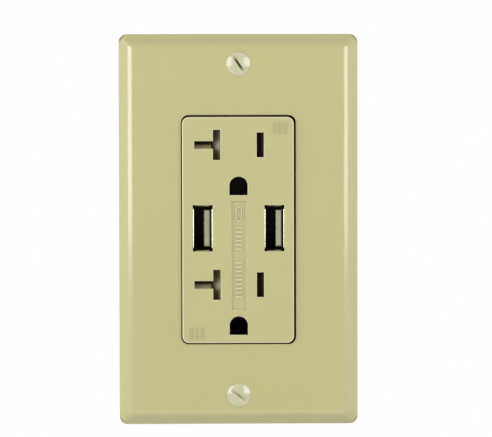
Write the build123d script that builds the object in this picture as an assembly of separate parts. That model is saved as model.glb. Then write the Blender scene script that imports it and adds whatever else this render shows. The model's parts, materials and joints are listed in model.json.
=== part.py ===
from build123d import *
import os
from math import hypot, radians, tan

# Duplex wall outlet: a 20 A receptacle with two USB charging ports, its mounting
# strap, and a one-gang wall plate. Every separate piece is written as its own node.
# Millimetres. Origin: centre of the device on the wall plane.
# +X is right as seen from the room, +Y goes into the wall, +Z is up.

# ---- Wall plate ----
PLATE_W, PLATE_H, PLATE_DEPTH = 69.85, 114.3, 5.6
PLATE_WALL = 2.0
PLATE_CORNER_R, PLATE_INNER_R = 2.4, 1.5
BEVEL, BEVEL_FRONT_R = 3.3, 2.8
OPENING_W, OPENING_H, OPENING_R = 33.5, 66.95, 2.2
COLLAR_W, COLLAR_DEPTH = 1.4, 1.2
PLATE_SCREW_Z = 96.84 / 2
BOSS_R = 3.0
RIB_ROWS, RIB_W, RIB_T, RIB_INSET = (-44.0, -14.0, 14.0, 44.0), 2.8, 1.0, 1.2

# ---- Plate screws ----
OVAL_HEAD_R, OVAL_DOME, COUNTERSINK_HALF_ANGLE = 3.55, 0.8, 41.0
HEAD_CLEARANCE, PLATE_SCREW_HOLE_R = 0.07, 2.1
PLATE_SCREW_R, PLATE_SCREW_LENGTH = 1.70, 12.7
PLATE_SLOT_W, PLATE_SLOT_DEPTH = 0.65, 1.35
PLATE_SCREW_SLOTS = {"upper": -56.0, "lower": -36.0}

# ---- Face cover ----
FACE_W, FACE_H, FACE_R, FACE_EDGE_R = 32.6, 66.0, 2.0, 0.45
FACE_PROUD = 1.0
FACE_SHIFT_X, FACE_SHIFT_Z = -0.15, -0.08
PANEL_T, FACE_WALL = 2.0, 1.8
FACE_BOSS_R, FACE_BOSS_BORE_R, FACE_BOSS_ROOM = 2.0, 1.25, 0.3
SLOT_ROUND = 0.25
STRIP_TOP, STRIP_BOTTOM, STRIP_W, STRIP_FLOOR_W, STRIP_DEPTH = 8.4, -23.5, 4.4, 3.9, 0.35
MARK_RISE, MARK_W, MARK_T, MARK_PITCH = 0.2, 1.9, 0.45, 1.25
MARK_GROUPS = ((0.6, 6), (-9.6, 9))
RING_Z, RING_W, RING_H, RING_T = 4.6, 1.9, 4.4, 0.35
TICK_COUNT, TICK_W, TICK_H, TICK_PITCH, TICK_RISE = 3, 0.45, 3.2, 1.6, 0.15
TICK_PLACES = ((12.2, 29.6), (-12.2, -30.2))

# ---- Receptacles: the blade slots' centre lines and the ground holes below them ----
BLADE_LINES = {"upper": 24.76, "lower": -16.03}
BLADE_X = 6.35
NEUTRAL_SLOT_W, NEUTRAL_SLOT_H = 2.17, 8.76
HOT_SLOT_W, HOT_SLOT_H = 2.1, 7.2
LEG_END_X, LEG_H = -12.9, 2.2
GROUND_DROP, GROUND_R, GROUND_FLAT = 11.9, 2.67, 2.75

# ---- USB ports ----
USB_X, USB_Z = 10.45, 0.46
USB_HOLE_W, USB_HOLE_H = 5.84, 13.5
USB_SHELL_W, USB_SHELL_H, USB_SHELL_T = 5.3, 12.7, 0.3
USB_LIP_W, USB_LIP_H, USB_LIP_DEPTH, USB_LIP_CORNER, USB_LIP_T = 5.74, 13.4, 0.9, 0.75, 0.2
USB_MOUTH_Y, USB_BACK_Y = -6.25, 8.0
LATCH_Z, LATCH_HALF, LATCH_Y0, LATCH_Y1, LATCH_CUT = 3.0, 1.2, -1.0, 4.5, 0.4
TONGUE_W, TONGUE_H, TONGUE_OFFSET, TONGUE_FRONT_Y = 1.8, 10.6, 1.3, -5.3
TONGUE_ROOT_Y, TONGUE_CHAMFER = 6.4, 0.3
CONTACT_ROWS, CONTACT_W, CONTACT_T = (-3.5, -1.0, 1.0, 3.5), 1.0, 0.3
PIN_W, PIN_END_Y = 0.6, 10.6

# ---- Strap ----
STRAP_T, STRAP_R = 1.2, 2.0
STRAP_W, STRAP_H = 40.0, 73.0
TONGUE_STRAP_W, STRAP_LENGTH = 19.0, 106.0
EAR_W, EAR_BOTTOM_Z, EAR_R = 34.0, 45.8, 2.5
EAR_HOLE_R, EAR_HOLE_X = 1.5, 13.4
EAR_GROOVE_W, EAR_GROOVE_DEPTH = 0.8, 0.5
SPINE_HALF = 4.9
BLADE_WINDOW_X, BLADE_WINDOW_HALF_H = 9.8, 5.2
LEG_WINDOW_X, LEG_WINDOW_HALF_H = 14.6, 2.2
USB_WINDOW_X0, USB_WINDOW_X1, USB_WINDOW_HALF_H = 6.9, 14.0, 7.3
BOX_SCREW_Z = 83.34 / 2
BOX_SLOT_W, BOX_SLOT_H = 7.5, 4.3
PLATE_HOLE_R = 1.75
GROUND_TAB_X, GROUND_TAB_W, GROUND_TAB_Y = -14.75, 9.5, 14.0

# ---- Ground clips and their rivets ----
CLIP_T, CLIP_HALF_W, CLIP_BELOW, CLIP_ABOVE = 0.6, 4.3, 4.6, 8.6
PASSAGE_HALF_W, PASSAGE_HALF_H = 2.9, 2.95
GROUND_LEAF = ((3.4, 0.3), (3.4, 3.2), (2.2, 8.6), (2.9, 11.6))
GROUND_LEAF_HALF_H = 2.2
RIVET_RISES, RIVET_R, RIVET_HOLE_R = (4.8, 7.3), 0.9, 0.92
RIVET_HEAD_R, RIVET_HEAD_H = 1.5, 0.5

# ---- Box mounting screws ----
BOX_SCREW_R, BOX_NECK_R, BOX_SCREW_END_Y = 1.75, 1.5, 27.0
BOX_HEAD_R, BOX_HEAD_H, BOX_HEAD_CHAMFER = 3.4, 1.9, 0.7
BOX_SLOT_CUT_W, BOX_SLOT_CUT_DEPTH = 1.1, 1.0
RETAINER_SIDE, RETAINER_T, THREAD_START_Y = 8.4, 0.35, 0.45

# ---- Terminals ----
TERMINAL_Y = 8.0
TERMINAL_Z = {"upper": 18.5, "lower": -18.5}
TERMINAL_R, TERMINAL_HOLE_R = 2.05, 2.12
TERMINAL_HEAD_R, TERMINAL_HEAD_H, TERMINAL_HEAD_CHAMFER = 4.0, 1.9, 0.6
HEX_CORNER_R = 4.45
TERMINAL_SLOT_W, TERMINAL_SLOT_DEPTH = 1.2, 1.1
TERMINAL_SHANK, SCREW_TIP = 6.3, 0.5
CLAMP_SIDE, CLAMP_T, CLAMP_R = 8.6, 1.2, 0.8
CLAMP_TOOTH_W, CLAMP_TOOTH_DEPTH, CLAMP_TOOTH_PITCH = 0.5, 0.25, 2.0
WIRE_OFFSET, WIRE_GROOVE_W, WIRE_GROOVE_DEPTH = 3.2, 2.6, 1.4

# ---- Live contacts ----
BUS_X, BUS_T, BUS_FRONT_Y, BUS_BACK_Y = 17.4, 0.8, 4.0, 12.8
BUS_TOP_Z, BUS_BOTTOM_Z = 29.2, -23.2
BUS_PIN_HALF = 3.0
WIPER_T, CONTACT_HALF, ARM_TOP = 0.5, 3.2, 1.75
WIPER_LINE = ((1.2, 12.4), (1.2, 9.0), (0.85, 4.2), (1.3, 2.2))
CONTACT_BASE_X0, CONTACT_BASE_X1, ARM_START_X = 4.9, 9.2, 9.0
LEG_CONTACT_X0, LEG_CONTACT_X1 = -12.6, -8.3
LEG_NOTCH_X, LEG_NOTCH_HALF = -6.4, 1.5

# ---- Contact carrier ----
CARRIER_W, CARRIER_H, CARRIER_DEPTH, CARRIER_R = 34.4, 65.2, 14.6, 1.0
POCKET_X0, POCKET_HOT_X1, POCKET_LEG_X1, POCKET_HALF_H = 4.7, 9.0, 13.2, 4.7
ARM_POCKET_Y, ARM_POCKET_X, ARM_POCKET_HALF_H = 11.8, 18.0, 3.5
TERMINAL_POCKET_X, TERMINAL_POCKET_HALF = 12.8, 2.5
PIN_POCKET_HALF_W, PIN_POCKET_HALF_H = 4.0, 3.4
USB_BAY_HALF_W, BAY_GAP = 15.3, 0.3
GROUND_CUT_X0, GROUND_CUT_X1, GROUND_CUT_Z = -19.6, -9.4, -30.8

# ---- Back body ----
BODY_W, BODY_H, BODY_DEPTH, BODY_WALL = 42.0, 70.0, 31.0, 2.0
BODY_R, BODY_CHAMFER = 2.0, 1.0
COLUMN_X, COLUMN_Z, COLUMN_R = 12.5, 29.6, 2.7
BOARD_POST_X, BOARD_POST_Z, BOARD_POST_R = 16.3, 23.0, 1.5
STOP_HALF_W, STOP_Z = 7.0, 30.9
GROUND_BOX_X0, GROUND_BOX_X1, GROUND_BOX_Y0, GROUND_BOX_Y1 = -19.5, -9.5, 1.0, 15.0
GROUND_POCKET_X0, GROUND_POCKET_X1, GROUND_POCKET_Y0, GROUND_POCKET_Y1 = -19.2, -10.3, 3.2, 12.8
GROUND_POCKET_Z = -31.9
WINDOW_REACH = CLAMP_SIDE / 2 + 0.6
LABEL_HALF_W, LABEL_HALF_H, LABEL_DEPTH = 6.0, 9.0, 0.5
GROOVE_HALF_W, GROOVE_Z, GROOVE_HALF_H, GROOVE_DEPTH = 9.0, 14.0, 0.8, 0.6

# ---- Assembly screws ----
ASSEMBLY_R, ASSEMBLY_HOLE_R, ASSEMBLY_TIP_Y = 1.2, 1.4, -5.2
ASSEMBLY_SINK, ASSEMBLY_SINK_R = 2.0, 2.5
ASSEMBLY_HEAD_R, ASSEMBLY_HEAD_H = 2.2, 1.6
CROSS_HALF, CROSS_HALF_T, CROSS_START = 1.3, 0.3, 0.8

# ---- Boards and their parts ----
SHEET_T, SHEET_HALF_W, SHEET_HALF_H = 0.4, 17.0, 25.6
BOARD_Y, BOARD_T, BOARD_W, BOARD_H = 16.2, 1.6, 37.2, 51.6
USB_BOARD_Y, USB_BOARD_W, USB_BOARD_TOP, USB_BOARD_BOTTOM = 8.5, 30.0, 8.3, -9.3
HEADER_XS, HEADER_Z, HEADER_HALF_W, HEADER_HALF_H = (-5.0, -2.5, 0.0, 2.5, 5.0), -6.0, 6.6, 1.4
HEADER_PIN_R, HEADER_HOLE_R, HEADER_PIN_PROUD = 0.36, 0.42, 0.6
SHEET_SLOT_HALF_W, SHEET_SLOT_HALF_H = 7.2, 2.0
CHIP_HALF, CHIP_H, CHIP_Z = 2.5, 1.2, 3.0
CORE_HALF_W, CORE_H, CORE_BOTTOM, CORE_TOP, CORE_R = 7.0, 10.2, -4.4, 8.4, 0.6
BULK_X, BULK_Z, BULK_R, BULK_H = 4.6, 13.2, 4.0, 9.8
OUTPUT_X, OUTPUT_Z, OUTPUT_R, OUTPUT_H = -11.8, 12.0, 2.5, 8.0
VARISTOR_X0, VARISTOR_X1, VARISTOR_Z, VARISTOR_R = 11.2, 14.0, -12.0, 4.2
Y_CAP_X0, Y_CAP_X1, Y_CAP_Z, Y_CAP_R = -14.2, -12.0, -7.5, 3.4
DISC_LIFT, DISC_FOOT_H, DISC_FOOT_INSET = 0.7, 1.2, 0.6
FUSE_X0, FUSE_X1, FUSE_Z, FUSE_R = -12.0, -3.0, -21.5, 2.2
CHOKE_X, CHOKE_Z, CHOKE_R, CHOKE_WAIST_R, CHOKE_H, FLANGE_T = 5.2, -19.0, 3.6, 2.2, 8.0, 1.0
BRIDGE_HALF_W, BRIDGE_Z0, BRIDGE_Z1, BRIDGE_H = 3.2, -14.8, -9.6, 2.6
SWITCH_X0, SWITCH_X1, SWITCH_Z0, SWITCH_Z1, SWITCH_H = 9.4, 14.4, 2.0, 7.0, 1.8
DIODE_X0, DIODE_X1, DIODE_Z, DIODE_R = -14.6, -9.0, 3.0, 1.4

# ---- Shutters ----
TRAY_T, TRAY_BOTTOM, TRAY_TOP, TRAY_SIDE = 0.8, -10.6, 6.0, 14.2
TRAY_SHOULDER_X, TRAY_SHOULDER_Z = 10.3, 2.0
TRAY_NOTCH_HALF_W, TRAY_NOTCH_Z = 3.3, -8.9
SEAT_T, SEAT_HALF_H, LEG_SEAT_X0, LEG_SEAT_X1 = 0.8, 1.6, -13.3, -8.0
SHUTTER_GAP = 0.05
SHUTTER_FRONT_Y = -4.5
BLOCK_NEAR, BLOCK_FAR, RAMP_RUN = 5.0, 7.7, 2.15
NEUTRAL_BLOCK_HALF, HOT_BLOCK_HALF = 4.5, 3.9
RAIL_FRONT_Y, RAIL_IN, RAIL_OUT, HOT_RAIL_IN = -3.4, 4.6, 5.5, 3.7
LUG_X, LUG_Y0, LUG_Y1, LUG_HALF_H = 8.3, -4.3, -2.3, 1.2
LEG_SHUTTER_LEFT, LEG_SHUTTER_RIGHT = -13.3, -7.95
LEG_SHUTTER_TOP, LEG_SHUTTER_BOTTOM = 1.45, -4.4
SPRING_R, SPRING_BORE_R, SPRING_Y = 1.05, 0.72, -3.3

# ---- Worked-out places ----
PLATE_FRONT_Y = -PLATE_DEPTH
PLATE_INNER_Y = PLATE_FRONT_Y + PLATE_WALL
FACE_FRONT_Y = PLATE_FRONT_Y - FACE_PROUD
PANEL_BACK_Y = FACE_FRONT_Y + PANEL_T
STRAP_FRONT_Y = -STRAP_T
TRAY_FRONT_Y = STRAP_FRONT_Y - TRAY_T
SHUTTER_BACK_Y = TRAY_FRONT_Y - SHUTTER_GAP
SEAT_X = TRAY_SIDE - SEAT_T
BODY_INNER_W, BODY_INNER_H = BODY_W - 2 * BODY_WALL, BODY_H - 2 * BODY_WALL
BOARD_BACK_Y = BOARD_Y + BOARD_T
USB_BOARD_BACK_Y = USB_BOARD_Y + BOARD_T
CASE_BACK_INNER_Y = BODY_DEPTH - BODY_WALL
THROUGH = 60.0
LAP = 0.5

parts = {}


def span(a, b):
    """Two ends in rising order, whichever side of the middle they are on."""
    return min(a, b), max(a, b)


def block(x0, x1, y0, y1, z0, z1):
    """A box from its low corner to its high corner."""
    centre = Pos((x0 + x1) / 2, (y0 + y1) / 2, (z0 + z1) / 2)
    return centre * Box(x1 - x0, y1 - y0, z1 - z0)


def rod_y(radius, y0, y1, x=0.0, z=0.0):
    """A round bar along Y."""
    return Pos(x, (y0 + y1) / 2, z) * Rot(90, 0, 0) * Cylinder(radius, y1 - y0)


def rod_x(radius, x0, x1, y=0.0, z=0.0):
    """A round bar along X."""
    return Pos((x0 + x1) / 2, y, z) * Rot(0, 90, 0) * Cylinder(radius, x1 - x0)


def prism_y(sketch, y0, y1):
    """A sketch drawn in X and Z, extruded from y0 back to y1."""
    return extrude(Plane.XZ.offset(-y1) * sketch, amount=y1 - y0)


def prism_z(points, z0, z1):
    """A closed outline in X and Y, extruded from z0 up to z1."""
    return extrude(Plane.XY.offset(z0) * make_face(Polyline(*points, close=True)), amount=z1 - z0)


def prism_x(points, x0, x1):
    """A closed outline in Y and Z, extruded from x0 to x1."""
    return extrude(Plane.YZ.offset(x0) * make_face(Polyline(*points, close=True)), amount=x1 - x0)


def turned(points):
    """A solid of revolution about Z from an outline of radius and height."""
    return revolve(Plane.XZ * make_face(Polyline(*points, close=True)), axis=Axis.Z)


def ribbon(points, thickness):
    """The outline of a bent strip of even thickness along a centre line."""
    one_side, other_side = [], []
    for i, (px, py) in enumerate(points):
        before = points[max(i - 1, 0)]
        after = points[min(i + 1, len(points) - 1)]
        dx, dy = after[0] - before[0], after[1] - before[1]
        length = hypot(dx, dy)
        nx, ny = -dy / length * thickness / 2, dx / length * thickness / 2
        one_side.append((px + nx, py + ny))
        other_side.append((px - nx, py - ny))
    return one_side + other_side[::-1]


def facing_room(x, y, z):
    """A plane whose local Z points out of the wall, with local X right and local Y up."""
    return Plane(origin=(x, y, z), x_dir=(1, 0, 0), z_dir=(0, -1, 0))


def facing_side(side, x, y, z):
    """A plane whose local Z points out of the +X or -X side, with local Y up."""
    return Plane(origin=(x, y, z), x_dir=(0, side, 0), z_dir=(side, 0, 0))


def facing_down(x, y, z):
    """A plane whose local Z points down."""
    return Plane(origin=(x, y, z), x_dir=(1, 0, 0), z_dir=(0, 0, -1))


def slot_sketch(x0, x1, z0, z1):
    """A rectangle in X and Z from its corners."""
    return Pos((x0 + x1) / 2, (z0 + z1) / 2) * Rectangle(x1 - x0, z1 - z0)


# ------------------------------------------------------------ wall plate and its screws


def wall_plate():
    plate = plate_shell()
    opening = RectangleRounded(OPENING_W, OPENING_H, OPENING_R)
    collar = RectangleRounded(OPENING_W + 2 * COLLAR_W, OPENING_H + 2 * COLLAR_W, OPENING_R + COLLAR_W)
    plate += prism_y(collar, PLATE_INNER_Y - LAP, PLATE_INNER_Y + COLLAR_DEPTH)
    for z in (PLATE_SCREW_Z, -PLATE_SCREW_Z):
        plate += rod_y(BOSS_R, PLATE_INNER_Y - LAP, STRAP_FRONT_Y - 0.05, z=z)
    for side in (-1, 1):
        x = side * (PLATE_W / 2 - PLATE_WALL - RIB_INSET)
        for z in RIB_ROWS:
            plate += block(
                x - RIB_W / 2, x + RIB_W / 2, PLATE_INNER_Y - LAP, -0.6, z - RIB_T / 2, z + RIB_T / 2
            )
    plate -= prism_y(opening, PLATE_FRONT_Y - 1, 1)
    for z in (PLATE_SCREW_Z, -PLATE_SCREW_Z):
        plate -= facing_room(0, PLATE_FRONT_Y, z) * countersink()
    return plate


def plate_shell():
    """The plate's bevelled outside, hollow behind."""
    shell = block(-PLATE_W / 2, PLATE_W / 2, PLATE_FRONT_Y, 0, -PLATE_H / 2, PLATE_H / 2)
    shell = chamfer(shell.faces().sort_by(Axis.Y)[0].edges(), BEVEL)
    shell = fillet([e for e in shell.edges() if is_corner_seam(e)], PLATE_CORNER_R)
    shell = fillet(shell.faces().sort_by(Axis.Y)[0].edges(), BEVEL_FRONT_R)
    half_w, half_h = PLATE_W / 2 - PLATE_WALL, PLATE_H / 2 - PLATE_WALL
    hollow = block(-half_w, half_w, PLATE_INNER_Y, 1, -half_h, half_h)
    hollow = fillet(hollow.edges().filter_by(Axis.Y), PLATE_INNER_R)
    hollow = fillet(hollow.faces().sort_by(Axis.Y)[0].edges(), PLATE_INNER_R)
    return shell - hollow


def is_corner_seam(edge):
    """True for the plate's four upright corner edges and the mitred seams that they run into."""
    middle = edge @ 0.5
    near_x = abs(middle.X) > PLATE_W / 2 - BEVEL - 1
    near_z = abs(middle.Z) > PLATE_H / 2 - BEVEL - 1
    return near_x and near_z


def head_cone_depth(head_r, shank_r):
    return (head_r - shank_r) / tan(radians(COUNTERSINK_HALF_ANGLE))


def countersink():
    """The plate's screw hole, about local Z, with the plate's front at height 0."""
    rim_r, hole_r = OVAL_HEAD_R + HEAD_CLEARANCE, PLATE_SCREW_HOLE_R
    depth = head_cone_depth(rim_r, hole_r)
    return turned([(0, 1), (rim_r, 1), (rim_r, 0), (hole_r, -depth), (hole_r, -8), (0, -8)])


def oval_screw(slot_angle):
    """An oval-head screw about local Z, with the rim of its head at height 0."""
    cone = head_cone_depth(OVAL_HEAD_R, PLATE_SCREW_R)
    sphere_r = (OVAL_HEAD_R**2 + OVAL_DOME**2) / (2 * OVAL_DOME)
    dome = Pos(0, 0, OVAL_DOME - sphere_r) * Sphere(sphere_r)
    dome &= Pos(0, 0, OVAL_DOME / 2) * Cylinder(OVAL_HEAD_R + 0.5, OVAL_DOME)
    tip = PLATE_SCREW_LENGTH
    shank = turned(
        [
            (0, 0),
            (OVAL_HEAD_R, 0),
            (PLATE_SCREW_R, -cone),
            (PLATE_SCREW_R, SCREW_TIP - tip),
            (PLATE_SCREW_R - SCREW_TIP, -tip),
            (0, -tip),
        ]
    )
    slot = Pos(0, 0, OVAL_DOME) * Rot(0, 0, slot_angle) * Box(10, PLATE_SLOT_W, 2 * PLATE_SLOT_DEPTH)
    return shank + dome - slot


def plate_screws():
    for name, z in (("upper", PLATE_SCREW_Z), ("lower", -PLATE_SCREW_Z)):
        place = facing_room(0, PLATE_FRONT_Y, z)
        parts[f"plate_screw_{name}"] = place * oval_screw(PLATE_SCREW_SLOTS[name])


# ------------------------------------------------------------ face cover


def face_openings():
    """The outline, in X and Z, of everything cut through the face."""
    cuts = []
    for line in BLADE_LINES.values():
        half_w, half_h = NEUTRAL_SLOT_W / 2, NEUTRAL_SLOT_H / 2
        neutral = slot_sketch(-BLADE_X - half_w, -BLADE_X + half_w, line - half_h, line + half_h)
        leg = slot_sketch(LEG_END_X, -BLADE_X, line - LEG_H / 2, line + LEG_H / 2)
        hot = Pos(BLADE_X, line) * Rectangle(HOT_SLOT_W, HOT_SLOT_H)
        ground_z = line - GROUND_DROP
        flat = slot_sketch(-GROUND_R, GROUND_R, ground_z - GROUND_FLAT, ground_z)
        cuts += [neutral + leg, hot, Pos(0, ground_z) * Circle(GROUND_R) + flat]
    for side in (-1, 1):
        cuts.append(Pos(side * USB_X, USB_Z) * Rectangle(USB_HOLE_W, USB_HOLE_H))
    return cuts


def face_cover():
    place = Pos(FACE_SHIFT_X, FACE_SHIFT_Z)
    outer = place * RectangleRounded(FACE_W, FACE_H, FACE_R)
    inner = place * RectangleRounded(FACE_W - 2 * FACE_WALL, FACE_H - 2 * FACE_WALL, 0.8)
    cover = prism_y(outer, FACE_FRONT_Y, STRAP_FRONT_Y)
    cover = fillet(cover.faces().sort_by(Axis.Y)[0].edges(), FACE_EDGE_R)
    cover -= prism_y(inner, PANEL_BACK_Y, 1)
    for x in (-COLUMN_X, COLUMN_X):
        for z in (-COLUMN_Z, COLUMN_Z):
            cover += rod_y(FACE_BOSS_R, PANEL_BACK_Y - LAP, STRAP_FRONT_Y, x, z)
            cover -= rod_y(FACE_BOSS_BORE_R, ASSEMBLY_TIP_Y - FACE_BOSS_ROOM, 1, x, z)
    for cut in face_openings():
        cover -= prism_y(cut, FACE_FRONT_Y - 1, PANEL_BACK_Y + LAP)
    front = cover.faces().sort_by(Axis.Y)[0]
    slot_edges = [e for wire in front.inner_wires() for e in wire.edges()]
    cover = fillet(slot_edges, SLOT_ROUND)
    cover -= strip_recess()
    cover += strip_marks()
    for x, z in TICK_PLACES:
        cover += corner_ticks(x, z)
    return cover


def strip_recess():
    """The shallow panel down the middle of the face, with sloping sides."""
    slope = (STRIP_W - STRIP_FLOOR_W) / 2
    mouth = slot_sketch(-STRIP_W / 2, STRIP_W / 2, STRIP_BOTTOM, STRIP_TOP)
    floor = slot_sketch(-STRIP_FLOOR_W / 2, STRIP_FLOOR_W / 2, STRIP_BOTTOM + slope, STRIP_TOP - slope)
    faces = [
        Plane.XZ.offset(-FACE_FRONT_Y) * mouth,
        Plane.XZ.offset(-FACE_FRONT_Y - STRIP_DEPTH) * floor,
    ]
    return loft(faces)


def strip_marks():
    """Plain raised marks on the floor of the strip: a ring above two ladders of bars."""
    floor_y = FACE_FRONT_Y + STRIP_DEPTH
    ring = SlotOverall(RING_H, RING_W) - SlotOverall(RING_H - 2 * RING_T, RING_W - 2 * RING_T)
    marks = [prism_y(Pos(0, RING_Z) * Rot(0, 0, 90) * ring, floor_y - MARK_RISE, floor_y + LAP / 2)]
    for top, count in MARK_GROUPS:
        for i in range(count):
            z = top - i * MARK_PITCH
            bar = slot_sketch(-MARK_W / 2, MARK_W / 2, z - MARK_T / 2, z + MARK_T / 2)
            marks.append(prism_y(bar, floor_y - MARK_RISE, floor_y + LAP / 2))
    return marks


def corner_ticks(x, z):
    """Short raised ticks beside a receptacle."""
    ticks = []
    for i in range(TICK_COUNT):
        tick_x = x + (i - (TICK_COUNT - 1) / 2) * TICK_PITCH
        tick = slot_sketch(tick_x - TICK_W / 2, tick_x + TICK_W / 2, z - TICK_H / 2, z + TICK_H / 2)
        ticks.append(prism_y(tick, FACE_FRONT_Y - TICK_RISE, FACE_FRONT_Y + LAP / 2))
    return ticks


# ------------------------------------------------------------ shutters


def shutter_tray(line):
    """The slotted plate that a receptacle's shutters slide on, with its spring seats."""
    tray = block(-TRAY_SIDE, TRAY_SIDE, TRAY_FRONT_Y, STRAP_FRONT_Y, line + TRAY_BOTTOM, line + TRAY_TOP)
    for side in (-1, 1):
        x0, x1 = span(side * TRAY_SHOULDER_X, side * (TRAY_SIDE + 1))
        tray -= block(x0, x1, -THROUGH, 1, line + TRAY_SHOULDER_Z, line + TRAY_TOP + 1)
    notch = TRAY_NOTCH_HALF_W
    tray -= block(-notch, notch, -THROUGH, 1, line + TRAY_BOTTOM - 1, line + TRAY_NOTCH_Z)
    neutral_half_w, hot_half_w = NEUTRAL_SLOT_W / 2 + 0.16, HOT_SLOT_W / 2 + 0.15
    neutral_half_h, hot_half_h = NEUTRAL_SLOT_H / 2 + 0.12, HOT_SLOT_H / 2 + 0.15
    for x, half_w, half_h in ((-BLADE_X, neutral_half_w, neutral_half_h), (BLADE_X, hot_half_w, hot_half_h)):
        tray -= block(x - half_w, x + half_w, -THROUGH, 1, line - half_h, line + half_h)
    leg_half_h = LEG_H / 2 + 0.2
    tray -= block(LEG_END_X - 0.2, -BLADE_X, -THROUGH, 1, line - leg_half_h, line + leg_half_h)
    tray += block(SEAT_X, TRAY_SIDE, SHUTTER_FRONT_Y, TRAY_FRONT_Y, line - SEAT_HALF_H, line + SEAT_HALF_H)
    seat_z = line + TRAY_BOTTOM
    tray += block(LEG_SEAT_X0, LEG_SEAT_X1, SHUTTER_FRONT_Y, TRAY_FRONT_Y, seat_z, seat_z + SEAT_T)
    return tray


def blade_shutter(line):
    """One slider that closes both upright slots; pushing on both ramps slides it to +X."""
    shutter = shutter_block(-BLOCK_FAR, line, NEUTRAL_BLOCK_HALF)
    shutter += shutter_block(BLOCK_NEAR, line, HOT_BLOCK_HALF)
    for side in (-1, 1):
        z0, z1 = span(line + side * RAIL_IN, line + side * RAIL_OUT)
        shutter += block(-BLOCK_FAR, BLOCK_FAR, RAIL_FRONT_Y, SHUTTER_BACK_Y, z0, z1)
        z0, z1 = span(line + side * NEUTRAL_BLOCK_HALF, line + side * RAIL_OUT)
        shutter += block(-BLOCK_FAR, -BLOCK_NEAR, RAIL_FRONT_Y, SHUTTER_BACK_Y, z0, z1)
        z0, z1 = span(line + side * HOT_RAIL_IN, line + side * RAIL_OUT)
        shutter += block(BLOCK_NEAR, BLOCK_FAR, RAIL_FRONT_Y, SHUTTER_BACK_Y, z0, z1)
    return shutter + block(BLOCK_FAR, LUG_X, LUG_Y0, LUG_Y1, line - LUG_HALF_H, line + LUG_HALF_H)


def shutter_block(left, line, half_h):
    """The block behind one upright slot, with its ramp on the left."""
    right = left + BLOCK_FAR - BLOCK_NEAR
    outline = [
        (left, SHUTTER_BACK_Y),
        (left, SHUTTER_FRONT_Y + RAMP_RUN),
        (left + RAMP_RUN, SHUTTER_FRONT_Y),
        (right, SHUTTER_FRONT_Y),
        (right, SHUTTER_BACK_Y),
    ]
    return prism_z(outline, line - half_h, line + half_h)


def leg_shutter(line):
    """The slider that closes the side leg of the T slot; its ramp slides it down."""
    top, bottom = line + LEG_SHUTTER_TOP, line + LEG_SHUTTER_BOTTOM
    outline = [
        (SHUTTER_BACK_Y, top),
        (SHUTTER_FRONT_Y + RAMP_RUN, top),
        (SHUTTER_FRONT_Y, top - RAMP_RUN),
        (SHUTTER_FRONT_Y, bottom),
        (SHUTTER_BACK_Y, bottom),
    ]
    return prism_x(outline, LEG_SHUTTER_LEFT, LEG_SHUTTER_RIGHT)


def blade_spring(line):
    return rod_x(SPRING_R, LUG_X, SEAT_X, SPRING_Y, line) - rod_x(SPRING_BORE_R, 0, THROUGH, SPRING_Y, line)


def leg_spring(line):
    x = (LEG_SHUTTER_LEFT + LEG_SHUTTER_RIGHT) / 2
    low, high = line + TRAY_BOTTOM + SEAT_T, line + LEG_SHUTTER_BOTTOM
    centre = Pos(x, SPRING_Y, (low + high) / 2)
    return centre * (Cylinder(SPRING_R, high - low) - Cylinder(SPRING_BORE_R, high - low + 1))


def shutters():
    for name, line in BLADE_LINES.items():
        parts[f"shutter_tray_{name}"] = shutter_tray(line)
        parts[f"blade_shutter_{name}"] = blade_shutter(line)
        parts[f"leg_shutter_{name}"] = leg_shutter(line)
        parts[f"blade_spring_{name}"] = blade_spring(line)
        parts[f"leg_spring_{name}"] = leg_spring(line)


# ------------------------------------------------------------ strap and its screws


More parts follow.
